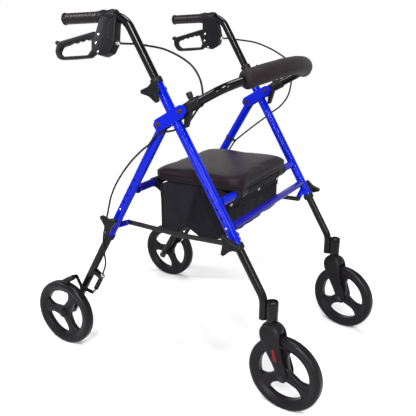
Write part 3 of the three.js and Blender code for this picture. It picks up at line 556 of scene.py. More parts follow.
def collar(name, end, outward, side, body):
    profile = [(12.8, -9), (14.6, -9), (15.4, -8), (15.5, 2), (15, 4.6), (13.6, 6), (11.4, 6), (11.4, 0.4),
               (12.8, 0.4), (12.8, -9)]
    skin(name, [lathe(profile, end, outward)], PLASTIC, body, side)


def knob(name, place, phase, side, body):
    """Three wings with hollowed sides on a tapered hub."""
    corners = []
    for i in range(3):
        a = math.radians(phase + 120 * i)
        spread = math.radians(8)
        wing = ((a - spread, 30, 3), (a + spread, 30, 3), (a + math.radians(60), 13.5, 20))
        for angle, radius, corner in wing:
            corners.append((place.y + radius * math.cos(angle), place.z + radius * math.sin(angle), corner))
    parts = [
        slab([outline(corners, 8)], TUBE_X + 33, TUBE_X + 45.5, 2.6),
        lathe([(0, 44.5), (9, 44.5), (12.5, 41), (13, 33), (10.5, 22), (8.8, 16.5), (0, 16)], place, X),
        lathe([(0, 46), (4.5, 46), (7, 45.2), (8, 43)], place, X),
        rod(out_from(place, 11.4), out_from(place, 18), 2.8, 12),
    ]
    skin(name, parts, PLASTIC, body, side)


def side_frame(tag):
    side = Side(tag)
    front_tube(side, "front_frame")
    rear_tube(side, "rear_frame")
    bracket(side, "front_frame")
    rear_cap(side, "rear_frame")
    collar("handle_collar", FRONT_TOP, -front_down, side, "front_frame")
    collar("front_collar", FRONT_BOTTOM, front_down, side, "front_frame")
    collar("rear_collar", REAR_BOTTOM, rear_down, side, "rear_frame")
    knob("handle_knob", HANDLE_KNOB, -5, side, f"handle_knob_{tag}")
    knob("front_knob", FRONT_KNOB, 60, side, f"front_knob_{tag}")
    knob("rear_knob", REAR_KNOB, 37, side, f"rear_knob_{tag}")


# ---------- handle ----------
def handle(tag):
    turn = about(HANDLE_VERTEX, TOE_OUT, -front_down)
    side = Side(tag, turn)
    body = f"handle_{tag}"
    corners = [FRONT_TOP + front_down * HANDLE_INSERT, HANDLE_VERTEX, grip_at(GRIP_END - 6)]
    path = bent(corners, HANDLE_BEND, 14)
    skin("handle_tube", [sweep(path, LEG_R, 36)], BLACK_PAINT, body, side)
    grip(side, body)
    brake = Side(tag, turn @ about(HANDLE_VERTEX, BRAKE_LEAN, grip_direction))
    housing(brake, body)
    lever(brake, f"lever_{tag}")


def about(point, angle, axis):
    """A turn about a line through a point."""
    return Matrix.Translation(point) @ Matrix.Rotation(angle, 4, axis) @ Matrix.Translation(-point)


def grip(side, body):
    """A moulded grip: a flange at each end, and shallow rings for the fingers between them."""
    profile = [(11.4, GRIP_START + 0.4), (14.6, GRIP_START + 0.4), (15.2, GRIP_START + 2),
               (14.4, GRIP_START + 5)]
    for i in range(11):
        start = GRIP_START + 9 + i * 8.4
        profile += [(GRIP_R, start), (GRIP_R, start + 5.8), (GRIP_R - 0.5, start + 7), (GRIP_R, start + 8.2)]
    profile += [(14.2, GRIP_END - 7), (15.4, GRIP_END - 4.5), (15.5, GRIP_END - 1.6), (14, GRIP_END - 0.2),
                (11, GRIP_END), (0, GRIP_END)]
    skin("grip", [lathe(profile, HANDLE_VERTEX, grip_direction, 44)], GRIP, body, side, sharp=50)


def housing(side, body):
    """The brake's housing with its clamp round the handle tube, its screws and the cable's ferrule."""
    shape = outline([(124, 952), (123.5, 925, 24), (120, 884, 14), (130, 860, 14), (151, 850, 16),
                     (178, 855, 8), (186, 884, 16), (176, 925, 24), (173, 950)], 8)
    raised = outline([(143, 948), (141, 925, 20), (137, 890, 14), (140, 866, 10), (153, 857, 10),
                      (173, 861, 8), (180, 884, 14), (171, 925, 20), (170, 946)], 8)
    clamp = [(15.4, 22), (16.2, 23), (15.8, 29), (17.4, 31), (17.4, 38), (15.8, 40), (15.8, 56),
             (17.2, 58.5), (17.2, 63), (15.8, 65), (15.6, 71.8), (11.4, 72.6), (11.4, 22), (15.4, 22)]
    parts = [
        slab([shape], TUBE_X - 13.9, TUBE_X + 13.9, 3),
        slab([raised], TUBE_X + 12, TUBE_X + 15, 1.6),
        slab([raised], TUBE_X - 15, TUBE_X - 12, 1.6),
        lathe(clamp, HANDLE_VERTEX, grip_direction, 40),
    ]
    skin("brake_housing", parts, PLASTIC, body, side)
    screws = []
    for place in ((169, 901), (174, 880), (164, 859)):
        for sign in (1, -1):
            head = [(0, 17.2 * sign), (2.2, 16.8 * sign), (3.3, 15.6 * sign), (3.4, 14 * sign)]
            screws.append(lathe(head, at(place), X, 20))
    ferrule = [(0, 0), (6, 0), (6, 4), (4.8, 5), (4.8, 9), (4, 10), (4, 15), (0, 15)]
    screws.append(lathe(ferrule, (TUBE_X, 124, 884), (0, -1, 0), 24))
    piece(f"housing_screws_{side.tag}", screws, STEEL, body, side=side)


def lever(side, body):
    """A loop of moulded plastic, with its openings joined into one window, and its pivot pin."""
    outer = outline([(168, 899, 8), (190, 911, 10), (290, 886, 12), (304, 883, 4), (308, 858, 16),
                     (296, 838, 18), (245, 841, 20), (194, 846, 14), (167, 866, 10)], 8)
    window = outline([(197, 895, 5), (210, 889, 6), (217, 892.5, 4), (229, 885, 6), (235, 888, 4),
                      (247, 880.5, 6), (253, 883.5, 4), (268, 876.5, 8), (288, 871, 12), (295, 856, 8),
                      (281, 846, 8), (202, 852, 6), (192, 866, 6)], 8)
    parts = [
        slab([outer, window], TUBE_X - 7, TUBE_X + 7, 2.6),
        lathe([(0, -7.5), (4, -7), (5.6, -4), (5.6, 4), (4, 7), (0, 7.5)], (TUBE_X, 306, 881), X, 24),
    ]
    skin("brake_lever", parts, PLASTIC, body, side)


# ---------- front leg, caster and wheels ----------
def front_leg(tag):
    side = Side(tag)
    body = f"front_leg_{tag}"
    corner = FRONT_BOTTOM + front_down * ((289 - FRONT_BOTTOM.z) / front_down.z)
    path = bent([front_from_bottom(LEG_INSERT), corner, (TUBE_X, corner.y, 234)], 60, 10)
    near, far = STEM_Y + 8, corner.y - 4
    weld = outline([(near, 238, 4), (far, 238, 4), (far, 282, 4), (near, 282, 4)])
    stem = (TUBE_X, STEM_Y, 0)
    stem_tube = [(8.4, 232), (14, 232), (15.1, 233.5), (15.1, 285), (14.2, 287.4), (13, 288), (11.6, 287.4),
                 (11.2, 276.3), (8.4, 276.3), (8.4, 232)]
    parts = [sweep(path, LEG_R, 32), slab([weld], TUBE_X - 5.5, TUBE_X + 5.5, 2), lathe(stem_tube, stem, UP)]
    skin("front_leg", parts, BLACK_PAINT, body, side)
    cap = [(0, 286.6), (6, 286.2), (10, 284.6), (10.6, 282), (10.6, 278), (0, 278)]
    piece(f"stem_cap_{tag}", [lathe(cap, stem, UP)], PLASTIC, body, side=side)


# A fork limb's sections from its crown down: height, middle in y, half width in y, inner x and outer x.
FORK_SECTIONS = (
    (229, -2, 10, 4, 14), (226, -2, 17, 4, 18.5), (220, -2.2, 23.5, 6, 21.6), (211, -2.6, 27.4, 10, 23.6),
    (200, -4, 28.4, 14, 24.2), (188, -6.5, 27.4, 16, 24.3), (172, -12, 24.4, 16.2, 24.1),
    (152, -20, 20.4, 16.2, 23.7), (128, -32, 17.2, 16.2, 23.3), (108, -40.5, 15.8, 16.2, 23.1),
    (95, -42.5, 14.4, 16.2, 23), (88, -42.6, 11.4, 16.4, 22.6), (84.6, -42.6, 6, 17.4, 21.6))


def fork_limb(sign):
    """One side of the fork: rounded sections that narrow from the crown down to the axle."""
    verts = []
    count = 28
    for z, middle, half_y, inner, outer in FORK_SECTIONS:
        for i in range(count):
            a = 2 * math.pi * i / count
            wide = math.copysign(abs(math.cos(a)) ** 0.75, math.cos(a))
            deep = math.copysign(abs(math.sin(a)) ** 0.75, math.sin(a))
            x = (inner + outer) / 2 + (outer - inner) / 2 * deep
            verts.append(Vector((sign * x, middle + half_y * wide, z)))
    faces = [list(range(count)), list(range(len(verts) - count, len(verts)))]
    for j in range(len(FORK_SECTIONS) - 1):
        for i in range(count):
            a, b = j * count + i, j * count + (i + 1) % count
            faces.append([a, b, b + count, a + count])
    return verts, faces


def caster(tag):
    heading = Matrix.Rotation(math.radians(CASTER_TURN[tag]), 4, "Z")
    side = Side(tag, Matrix.Translation((TUBE_X, STEM_Y, 0)) @ heading)
    body = f"caster_{tag}"
    hub = lambda x: Vector((x, -CASTER_TRAIL, WHEEL_R))
    parts = [
        fork_limb(1),
        fork_limb(-1),
        pebble((0, -2.5, 212.5), (23.4, 28.2, 16.5), 0.86, 24, 40),
        lathe([(0, 231.3), (13.6, 231.3), (14, 230), (14.2, 226), (17, 222), (18, 216), (0, 216)],
              (0, 0, 0), UP),
    ]
    skin("fork", parts, PLASTIC, body, side)
    axle = [
        lathe([(0, 27), (3, 26.8), (3.4, 25.6), (6.6, 25.4), (7.6, 24), (7.6, 22)], hub(0), X, 24),
        rod(hub(-26), hub(-22), 7.6, 6),
        rod(hub(-20), hub(20), 4.4, 16),
    ]
    piece(f"front_axle_{tag}", axle, BLACK_STEEL, body, side=side)
    plate = outline([(-13, 172, 4), (-22, 170, 4), (-30, 139, 4), (-21, 137, 4)])
    piece(f"reflector_{tag}", [slab([plate], 22.6, 25, 0.8)], RED, body, side=side)
    wheel(f"front_wheel_{tag}", side, hub(0), (-16, 16), 4.8, 85)


def wheel(name, side, centre, hub_ends, bore, turn):
    """A moulded wheel: a ribbed tyre, a stepped rim and three broad spokes that run out into it."""
    tyre = [(70.5, -7.5), (73, -9.5), (76, -10), (78.5, -12.2), (86, -14.2), (92.5, -14.5), (96.5, -12.8),
            (99, -9.8), (100, -7), (100, -4.6), (98.8, -4.2), (98.8, -3.4), (100, -3)]
    parts = [lathe(mirrored(tyre), centre, X, 96)]
    spoke = [(6, -16), (26, -13.5, 24), (44, -11.5, 30), (60, -17, 26), (73, -33, 3), (74.5, 0, 20),
             (73, 33, 3), (60, 17, 26), (44, 11.5, 30), (26, 13.5, 24), (6, 16)]
    rib = [(12, -4.5), (62, -3.5), (70, -9), (71, 9), (62, 3.5), (12, 4.5)]
    for i in range(3):
        a = math.radians(turn + 120 * i)
        cos, sin = math.cos(a), math.sin(a)
        spun = [[(centre.y + u * cos - v * sin, centre.z + u * sin + v * cos, *r) for u, v, *r in corners]
                for corners in (spoke, rib)]
        parts.append(slab([outline(spun[0])], centre.x - 7, centre.x + 7, 2.4))
        parts.append(slab([spun[1]], centre.x - 8.6, centre.x + 8.6, 1))
    low, high = (end - centre.x for end in hub_ends)
    hub = [(bore, low), (11.5, low), (13, low + 1.2), (13.4, -9.4), (18, -8.8), (20, -7), (20, 7), (18, 8.8),
           (13.4, 9.4), (13, high - 1.2), (11.5, high), (bore, high), (bore, low)]
    parts.append(lathe(hub, centre, X, 48))
    piece(f"{name}_skin", parts, TYRE, name, [name], side)


# ---------- rear leg and brake ----------
def rear_leg(tag):
    side = Side(tag)
    body = f"rear_leg_{tag}"
    axle = lambda x: Vector((x, AXLE.y, AXLE.z))
    root = rear_at_z(244) + brake_forward * 9
    end = CABLE_STOP + brake_forward * 6
    side_step = rear_down * 7
    places = (root - side_step, root + side_step, end + side_step * 0.75, end - side_step * 0.75)
    arm = outline([(p.y, p.z, corner) for p, corner in zip(places, (2, 2, 4, 4))])
    parts = [
        rod(REAR_BOTTOM - rear_down * LEG_INSERT, AXLE + rear_down * 15, LEG_R, 32, 0.8),
        rod(axle(254), axle(262.3), 9, 24, 0.6),
        slab([arm], TUBE_X - 8, TUBE_X + 8, 1.4),
    ]
    skin("rear_leg", parts, BLACK_PAINT, body, side)
    bolts = [
        rod(axle(231), axle(304), 5, 20),
        rod(axle(229.5), axle(234.5), 8, 6),
        lathe([(0, 306), (3.4, 305.8), (3.6, 304.6), (7.4, 304.2), (8.4, 302.6), (8.4, 300.6)], axle(0), X,
              24),
        rod(at(BRAKE_PIVOT, 250), at(BRAKE_PIVOT, 262), 3.5, 16),
        rod(at(BRAKE_PIVOT, 260.7), at(BRAKE_PIVOT, 262.6), 5.8, 20, 0.5),
    ]
    piece(f"rear_axle_{tag}", bolts, BLACK_STEEL, body, side=side)
    ferrule = [(0, -12), (3.2, -12), (3.4, -10.6), (6, -10.2), (6, -5.4), (4.4, -5), (4.4, 8), (0, 8)]
    piece(f"cable_stop_{tag}", [lathe(ferrule, CABLE_STOP, rear_down, 20)], STEEL, body, side=side)
    boot = [(0, 7)]
    for i in range(11):
        boot += [(5.6, 7.4 + i * 3.9), (7.2, 9.0 + i * 3.9), (7.1, 10.0 + i * 3.9)]
    boot += [(5.2, 51), (0, 51)]
    piece(f"brake_boot_{tag}", [lathe(boot, CABLE_STOP, rear_down, 24)], PLASTIC, body, side=side, sharp=60)
    wheel(f"rear_wheel_{tag}", side, axle(REAR_WHEEL_X), (262.6, 300.2), 5.3, 4)


def link(start, end, reach, half, corner, low, high, steps=6):
    """A flat link with rounded ends; it runs past both of its places by reach and is half wide each way."""
    start, end = Vector(start), Vector(end)
    step = (end - start).normalized()
    wide = Vector((-step.y, step.x)) * half
    back, ahead = start - step * reach, end + step * reach
    corners = [(*place, corner) for place in (back + wide, ahead + wide, ahead - wide, back - wide)]
    return slab([outline(corners, steps)], low, high, 0.7)


def brake_arm(tag):
    side = Side(tag)
    body = f"brake_arm_{tag}"
    tab = CABLE_STOP + rear_down * 57
    to_centre = Vector((0, AXLE.y - 336, AXLE.z - 206)).normalized()
    across = Vector((0, -to_centre.z, to_centre.y)) * 11
    centre = Vector((0, AXLE.y, AXLE.z))
    top = centre - to_centre * (WHEEL_R + 9.5)
    foot = centre - to_centre * (WHEEL_R + 4.6)
    places = [(tab.y, tab.z), BRAKE_PIVOT, (319, 214), (top.y, top.z)]
    parts = [link(a, b, 5.9, 6, 5.4, 257.4, 260.4) for a, b in zip(places, places[1:])]
    shoe = [(p.y, p.z, 1) for p in (top + across, top - across, foot - across, foot + across)]
    parts.append(slab([outline(shoe, 3)], 259, REAR_WHEEL_X + 11, 0.8))
    parts.append(rod((TUBE_X - 7, tab.y, tab.z), (259, tab.y, tab.z), 2, 12))
    skin("brake_arm", parts, BLACK_STEEL, body, side)
    along = lambda distance: (TUBE_X, *(tab + rear_down * distance).yz)
    wire = [rod(along(-6.5), along(24), 0.8, 8), rod(along(2), along(8), 3, 6)]
    piece(f"brake_wire_{tag}", wire, STEEL, body, side=side)


# ---------- folding brace ----------
def brace(name, pivot, layer, head, tag):
    """One flat link, in its own layer across X, with the rivet at its tube and one end of the knee's."""
    side = Side(tag)
    body = f"{name}_{tag}"
    flat = link(pivot, BRACE_KNEE, 6.9, 6.9, 6.8, *layer, 8)
    piece(f"{body}_skin", [flat], BLACK_STEEL, body, [body], side)
    rivets = [
        rod(at(BRACE_KNEE, head[0]), at(BRACE_KNEE, head[1]), 4.8, 20, 0.5),
        lathe([(0, 231), (3, 230.8), (5.6, 229.6), (5.9, 228.8), (0, 228.8)], at(pivot, 0), X, 20),
        rod(at(pivot, layer[0] - 1), at(pivot, 229), 3.2, 16),
    ]
    piece(f"{body}_rivets", rivets, BLACK_STEEL, body, side=side)


# ---------- backrest ----------
BOW = {"socket": 38, "corner": 124, "pad_x": 193, "pad_t": 154, "radius": 386}


def bow(x, t, lift=0.0):
    """A point of the bow's sloping plane: x across, t forward of the hinge bolt, lift square to it."""
    return Vector((x, HINGE_BOLT.y - t * math.cos(BACK_RISE) + lift * math.sin(BACK_RISE),
                   HINGE_BOLT.z + t * math.sin(BACK_RISE) + lift * math.cos(BACK_RISE)))


def bow_arc(margin, steps):
    reach = math.asin(BOW["pad_x"] / BOW["radius"])
    half = reach - margin / BOW["radius"]
    centre = BOW["pad_t"] - BOW["radius"] * math.cos(reach)
    angles = [-half + 2 * half * i / steps for i in range(steps + 1)]
    return [bow(BOW["radius"] * math.sin(a), centre + BOW["radius"] * math.cos(a)) for a in angles]


def backrest():
    ends = []
    for sign in (-1, 1):
        corners = [bow(sign * TUBE_X, BOW["socket"]), bow(sign * TUBE_X, BOW["corner"]),
                   bow(sign * BOW["pad_x"], BOW["pad_t"])]
        ends.append(bent(corners, 50, 12))
    tube = [*ends[0], *bow_arc(20, 24), *reversed(ends[1])]
    piece("back_tube_skin", [sweep(tube, 11, 32)], BLACK_PAINT, "backrest", ["back_tube"])
    back_pad()
    for tag in "LR":
        back_hinge(tag)


def back_pad():
    """A thick foam sleeve round the bow, softly swollen, with rolled ends and a stitched seam underneath."""
    line = bow_arc(0, 72)
    radii = []
    for i, p in enumerate(line):
        from_end = min(i, len(line) - 1 - i) * 2 * BOW["pad_x"] / len(line)
        roll = 6 * (1 - min(1, from_end / 9)) ** 2
        radii.append(23.2 - roll + 0.7 * noise.noise(p * 0.03))
    verts, faces = sweep(line, 23, 48, radii)
    lips = [lathe(mirrored([(11.2, -0.4), (17, -0.4)]), end, end - inner)
            for end, inner in ((line[0], line[1]), (line[-1], line[-2]))]
    pad = piece("back_pad_cover", [(verts, faces), *lips], FOAM, "backrest", ["back_pad"], sharp=60)
    seam = [p - UP * 22.3 for p in line[3:-3]]
    piece("back_pad_seam", [sweep(seam, 1.3, 8)], FOAM, "backrest")


def back_hinge(tag):
    side = Side(tag)
    flat = lambda t, lift, *r: (bow(0, t, lift).y, bow(0, t, lift).z, *r)
    centre = lambda t, lift=0: bow(TUBE_X, t, lift)
    stop = outline([(-66, 738, 2), (-84, 742, 5), (-80, 726, 12), (-70, 693, 5), (-60.5, 692, 4),
                    (-62, 712, 12)])
    block = outline([flat(-2, 10.4, 4), flat(-2, -10.4, 4), flat(30, -12, 4), flat(30, 12, 4)])
    socket = [(11.4, 24.5), (13, 24.5), (14.4, 26), (14.5, 52), (14, 56.5), (12.8, 58), (11.4, 58),
              (11.4, 24.5)]
    pull_knob = [(0, 31), (6.4, 31), (7.5, 29.6), (7.5, 19), (6.4, 18), (6.4, 10), (0, 10)]
    slope = bow(0, 1) - bow(0, 0)
    parts = [
        rod(out_from(HINGE_BOLT, -12.3), out_from(HINGE_BOLT, 12.3), 10.5, 36, 1.2),
        slab([block], TUBE_X - 12.3, TUBE_X + 12.3, 1.6),
        lathe(socket, HINGE_BOLT, slope),
        slab([stop], TUBE_X - 7, TUBE_X + 7, 1.8),
        lathe(pull_knob, centre(36), centre(36, 1) - centre(36), 24),
    ]
    skin("back_hinge", parts, PLASTIC, "backrest", side)


# ---------- cross tubes ----------
def cross_tubes():
    for name, (y, z), material, body in (
        ("front_seat_tube", FRONT_SEAT_TUBE, BLUE, "front_frame"),
        ("rear_cross_tube", REAR_CROSS_TUBE, DARK_BLUE, "rear_frame"),
    ):
        piece(f"{name}_skin", [rod((-232, y, z), (232, y, z), CROSS_R, 36)], material, body, [name])
        weld = [(10, 223), (12, 226), (13, 231.5), (10, 231.8), (10, 223)]
        welds = [lathe(weld, (0, y, z), X * sign) for sign in (-1, 1)]
        piece(f"{name}_welds", welds, material, body)
    y, z = LOWER_BAR
    corners = ((-11, -7), (11, -7), (11, 7), (-11, 7))
    bar = outline([(y + u, z + v, 6.6) for u, v in corners], 8)
    bar = slab([bar], -231.9, 231.9, 0.3)
    piece("lower_crossbar_skin", [bar], BAR_BLUE, "front_frame", ["lower_crossbar"])


# ---------- seat ----------
SEAT = {"half": 172, "front": -178, "rear": 109, "bottom": 523, "top": 553, "corner": 42}


def seat_outline(inset):
    half, radius = SEAT["half"] - inset, SEAT["corner"] - inset * 0.5
    front, rear = SEAT["front"] + inset, SEAT["rear"] - inset
    corners = [(-half, front, radius), (half, front, radius), (half, rear, radius), (-half, rear, radius)]
    return outline(corners, 12)


def crowned(place):
    """How far towards the middle of the seat a place is: 0 on the edge, 1 in the middle."""
    across = 1 - abs(place.x / (SEAT["half"] * MM)) ** 4
    middle = (SEAT["front"] + SEAT["rear"]) / 2 * MM
    reach = (SEAT["rear"] - SEAT["front"]) / 2 * MM
    along = 1 - abs((place.y - middle) / reach) ** 4
    return max(0.0, across) * max(0.0, along)


CLOTH_FRAMES = 20


def inflate(pad, pressure, cap, floor):
    """Swells a closed pad as cloth under pressure; no point moves past cap metres or sinks below floor."""
    remesh = pad.modifiers.new("remesh", "REMESH")
    remesh.mode = "VOXEL"
    remesh.voxel_size = 0.0055
    bake(pad)
    rest = [v.co.copy() for v in pad.data.vertices]
    cloth = pad.modifiers.new("cloth", "CLOTH")
    cloth.settings.use_pressure = True
    cloth.settings.uniform_pressure_force = pressure
    cloth.settings.effector_weights.gravity = 0
    cloth.settings.quality = 5
    cloth.collision_settings.use_collision = False
    for frame_number in range(1, CLOTH_FRAMES + 1):
        bpy.context.scene.frame_set(frame_number)
    bake(pad)
    bpy.context.scene.frame_set(1)
    for vertex, start in zip(pad.data.vertices, rest):
        move = vertex.co - start
        if move.length > cap:
            vertex.co = start + move * (cap / move.length)
        vertex.co.z = max(vertex.co.z, floor)
    smooth = pad.modifiers.new("smooth", "SUBSURF")
    smooth.levels = 1
    bake(pad)


def bake(thing):
    """Applies every modifier of a piece to its mesh."""
    graph = bpy.context.evaluated_depsgraph_get()
    mesh = bpy.data.meshes.new_from_object(thing.evaluated_get(graph))
    thing.modifiers.clear()
    thing.data = mesh
    mesh.polygons.foreach_set("use_smooth", [True] * len(mesh.polygons))


def hugged(pad, loop):
    """A level loop round a pad, drawn in until it lies on the pad's side."""
    points = [v.co for v in pad.data.vertices]
    skin_of = BVHTree.FromPolygons(points, [p.vertices for p in pad.data.polygons])
    line = []
    for place in loop:
        middle = Vector((0, (SEAT["front"] + SEAT["rear"]) / 2, place.z))
        outside = middle + (place - middle) * 1.3
        hit = skin_of.ray_cast(outside * MM, middle - outside)[0]
        line.append(hit / MM if hit else place)
    return line


def seat():
    block = slab([seat_outline(3.5)], SEAT["bottom"] + 0.6, SEAT["top"] - 4, 8, "XY")
    pad = piece("seat_cover", [block], VINYL, "seat", ["seat_pad"], sharp=180)
    inflate(pad, 4.0, 0.006, (SEAT["bottom"] + 0.2) * MM)
    for vertex in pad.data.vertices:
        if vertex.co.z > (SEAT["bottom"] + 10) * MM:
            vertex.co.z += 0.003 * crowned(vertex.co) - 0.0005 * (1 + noise.noise(vertex.co * 14))
    welts = (("seat_welt_lower", 3.6, SEAT["bottom"] + 3.2), ("seat_welt_upper", 2.6, SEAT["top"] - 9))
    for name, inset, height in welts:
        line = hugged(pad, [Vector((p.x, p.y, height)) for p in seat_outline(inset)])
        piece(name, [sweep([*line, line[0], line[1]], 1.3, 8)], VINYL, "seat")
    board = seat_outline(10)
    parts = [slab([board], SEAT["bottom"] - 0.4, SEAT["bottom"] + 4.9, 1.4, "XY")]
    y, z = FRONT_SEAT_TUBE
    ring = mirrored([(11.7, -15), (14, -15), (15, -14)])
    neck = outline([(y + 6, z + 9.6), (y + 22, z + 9.6, 3), (y + 26, z + 14), (y - 4, z + 14),
                    (y - 4, z + 13.6)])
    for x in (-120, 120):
        parts.append(lathe(ring, (x, y, z), X, 40))
        parts.append(slab([neck], x - 14, x + 14, 0.8))
    for y in (-90, -20, 50):
        rib = outline([(y - 3, 519), (y + 3, 519), (y + 3, 524), (y - 3, 524)])
        parts.append(slab([rib], -135, 135, 0.8))
    piece("seat_board_skin", parts, PLASTIC, "seat", ["seat_board"])


# ---------- bag ----------
BAG_HALF = 161
BAG_TOP = 514
BAG_SECTION = [(-133, BAG_TOP), (-133, 394, 12), (-84, 376, 16), (-58, 377, 16), (-8, 404, 16),
               (26, 371, 20), (56, 366, 16), (71, 380, 10), (71, BAG_TOP - 3)]
# Of the section's 64 points, those before the first are the front panel, and those past the second the back.
FRONT_ROWS, BACK_ROWS = 18, 46


def bag_section(count):
    """Points evenly along the bag's section, from its front panel's top to its back panel's top."""
    corners = [Vector((0, c[0], c[1])) for c in BAG_SECTION]
    path = bent(corners, 12, 6)
    lengths = [0.0]
    for a, b in zip(path, path[1:]):
        lengths.append(lengths[-1] + (b - a).length)
    points = []
    for i in range(count):
        goal = lengths[-1] * i / (count - 1)
        k = max(j for j in range(len(path) - 1) if lengths[j] <= goal + 1e-6)
        points.append(path[k].lerp(path[k + 1], (goal - lengths[k]) / (lengths[k + 1] - lengths[k])))
    return points


def bag_top(y):
    """The height of the bag's mouth: it rises from the front panel to just under the seat board."""
    return BAG_TOP + 5.5 * min(1, (y + 133) / 20, (71 - y) / 20) - 3 * max(0, (y - 51) / 20)


def smooth_step(value):
    share = min(1.0, max(0.0, value))
    return share * share * (3 - 2 * share)


def bag_pleat(place):
    """How far a side panel falls inwards ahead of the pleat that runs from its mouth down and back."""
    pleat_y = -44 + 40 * (508 - place.z) / 125
    ahead = smooth_step((pleat_y - place.y + 3) / 9)
    ridge = 4.5 * math.exp(-((place.y - pleat_y - 5) / 7) ** 2)
    return 15 * ahead * smooth_step((place.y + 131) / 45) - ridge


def bag_fold(place):
    """Loose folds: long ones that hang from the mouth, and finer creases towards the bottom corners."""
    hang = noise.noise(Vector((place.x * 0.028, place.y * 0.035, place.z * 0.006)))
    crease = noise.noise(Vector((place.x * 0.05 + place.z * 0.03, place.y * 0.06 - place.z * 0.035, 4.0)))
    return hang * 5.5 + crease * 2.6


def bag():
    section = bag_section(64)
    rows = []
    first = section[0].y
    last = section[-1].y
    for side in (-1, 1):
        cap = []
        for k in range(16):
            share = k / 16
            row = []
            for i, p in enumerate(section):
                mouth_y = first + (last - first) * i / (len(section) - 1)
                mouth = Vector((0, mouth_y, bag_top(mouth_y)))
                q = mouth.lerp(p, share)
                belly = math.sin(math.pi * share) * math.sin(math.pi * i / (len(section) - 1))
                inward = bag_pleat(q) * smooth_step(share * 5) * smooth_step((1 - share) * 3)
                loose = 1.1 * bag_fold(q + X * side * 90) * min(1, share * 6)
                q.x = side * (BAG_HALF - 2 + 9 * belly - inward + loose)
                row.append(q)
            cap.append(row)
        rows.append(cap)
    body = []
    for k in range(61):
        x = -BAG_HALF + 2 * BAG_HALF * k / 60
        sag = 1 - (x / BAG_HALF) ** 2
        edge = min(1.0, (BAG_HALF - abs(x)) / 25)
        row = []
        for i, p in enumerate(section):
            depth = math.sin(math.pi * i / (len(section) - 1))
            q = Vector((x, p.y, p.z - 7 * sag * depth ** 3))
            out = bag_fold(q) * edge * min(1.0, depth * 4 + 0.25)
            if i < FRONT_ROWS:
                q.y -= min(5, out + 2)
            elif i > BACK_ROWS:
                q.y += min(5, out + 2)
            else:
                q.z -= abs(out) * 0.7
            row.append(q)
        body.append(row)
    grid = [*rows[0], *body, *reversed(rows[1])]
    verts = [p for row in grid for p in row]
    wide = len(section)
    faces = []
    for j in range(len(grid) - 1):
        for i in range(wide - 1):
            a = j * wide + i
            faces.append((a, a + 1, a + wide + 1, a + wide))
    shell = piece("bag_shell", [(verts, faces)], CLOTH, "front_frame", ["bag"], sharp=180)
    thick = shell.modifiers.new("thickness", "SOLIDIFY")
    thick.thickness = 0.0016
    thick.offset = 0
    bake(shell)
    crumple(shell)
    bag_trim(section)


def crumple(made):
    """Gives a piece of the bag a mesh of its own."""
    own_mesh(made)


def ribbon(path, low, high, thickness):
    """A flat band across X from low to high along a line in the side plane."""
    rim = []
    for sign in (1, -1):
        edge = []
        for i, p in enumerate(path):
            ahead = path[min(i + 1, len(path) - 1)]
            behind = path[max(i - 1, 0)]
            step = Vector((ahead[0] - behind[0], ahead[1] - behind[1])).normalized()
            edge.append((p[0] - step.y * thickness / 2 * sign, p[1] + step.x * thickness / 2 * sign))
        rim += edge if sign == 1 else list(reversed(edge))
    return slab([rim], low, high, min(0.3, thickness / 4))


def wrapped(centre, radius, degrees):
    """Places round a cross tube, in the side plane."""
    return [(centre[0] + radius * math.cos(math.radians(a)), centre[1] + radius * math.sin(math.radians(a)))
            for a in degrees]


def bag_trim(section):
    """The sleeve that hangs the front panel from the seat tube, the hems, seams, snaps and rear straps."""
    y, z = FRONT_SEAT_TUBE
    wrap = wrapped(FRONT_SEAT_TUBE, 12.4, range(-70, 231, 15))
    path = [(-134.6, 462), (-135.2, 484), (y + 8, z - 13.5), *wrap, (y - 4, z - 14), (-139.5, 484),
            (-138, 462)]
    parts = [ribbon(path, low, high, 1.3) for low, high in ((-162, -137), (-103, 103), (137, 162))]
    panel = [(-137.5, 470), (-138.5, 486), (y + 4, z - 14.2)]
    parts.append(ribbon(panel, -162, 162, 1.4))
    piece("bag_sleeve", parts, CLOTH, "front_frame")
    seams = []
    for x in (-BAG_HALF, BAG_HALF):
        line = [Vector((x * 1.002, p.y, p.z)) for p in section]
        seams.append(sweep(line, 1.7, 8))
    for x in (-BAG_HALF + 8, BAG_HALF - 8):
        seams.append(sweep([Vector((x, -139.3, z)) for z in range(404, 470, 6)], 0.7, 6))
    seams.append(sweep([Vector((x, -139, 465)) for x in range(-158, 159, 12)], 0.8, 6))
    crumple(piece("bag_seams", seams, CLOTH, "front_frame"))
    hem = [Vector((2 - BAG_HALF, along, bag_top(along) - 1)) for along in range(-132, 72, 4)]
    hems = [sweep(hem, 2, 8), sweep([Vector((-p.x, p.y, p.z)) for p in hem], 2, 8)]
    crumple(piece("bag_hem", hems, CLOTH, "front_frame"))
    snap = [(0, 2.6), (2.4, 2.5), (3.2, 1.2), (5.6, 1.6), (6.2, 0.6), (6.2, 0)]
    snaps = [lathe(snap, (x, -140.4, 484), (0, -1, 0.12), 24) for x in (-150, 20, 150)]
    piece("bag_snaps", snaps, STEEL, "front_frame")
    y, z = REAR_CROSS_TUBE
    wrap = wrapped(REAR_CROSS_TUBE, 12.3, range(-120, 181, 15))
    strap = [(73.4, 470), (74.2, 488), (y - 15, z - 15), *wrap, (y - 14.2, z - 2), (76.5, 494), (75.6, 470)]
    for x, name in ((-146, "bag_strap_R"), (146, "bag_strap_L"), (0, "bag_strap_middle")):
        made = piece(name, [ribbon(strap, x - 13, x + 13, 1.4)], CLOTH, None)
        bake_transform(made)


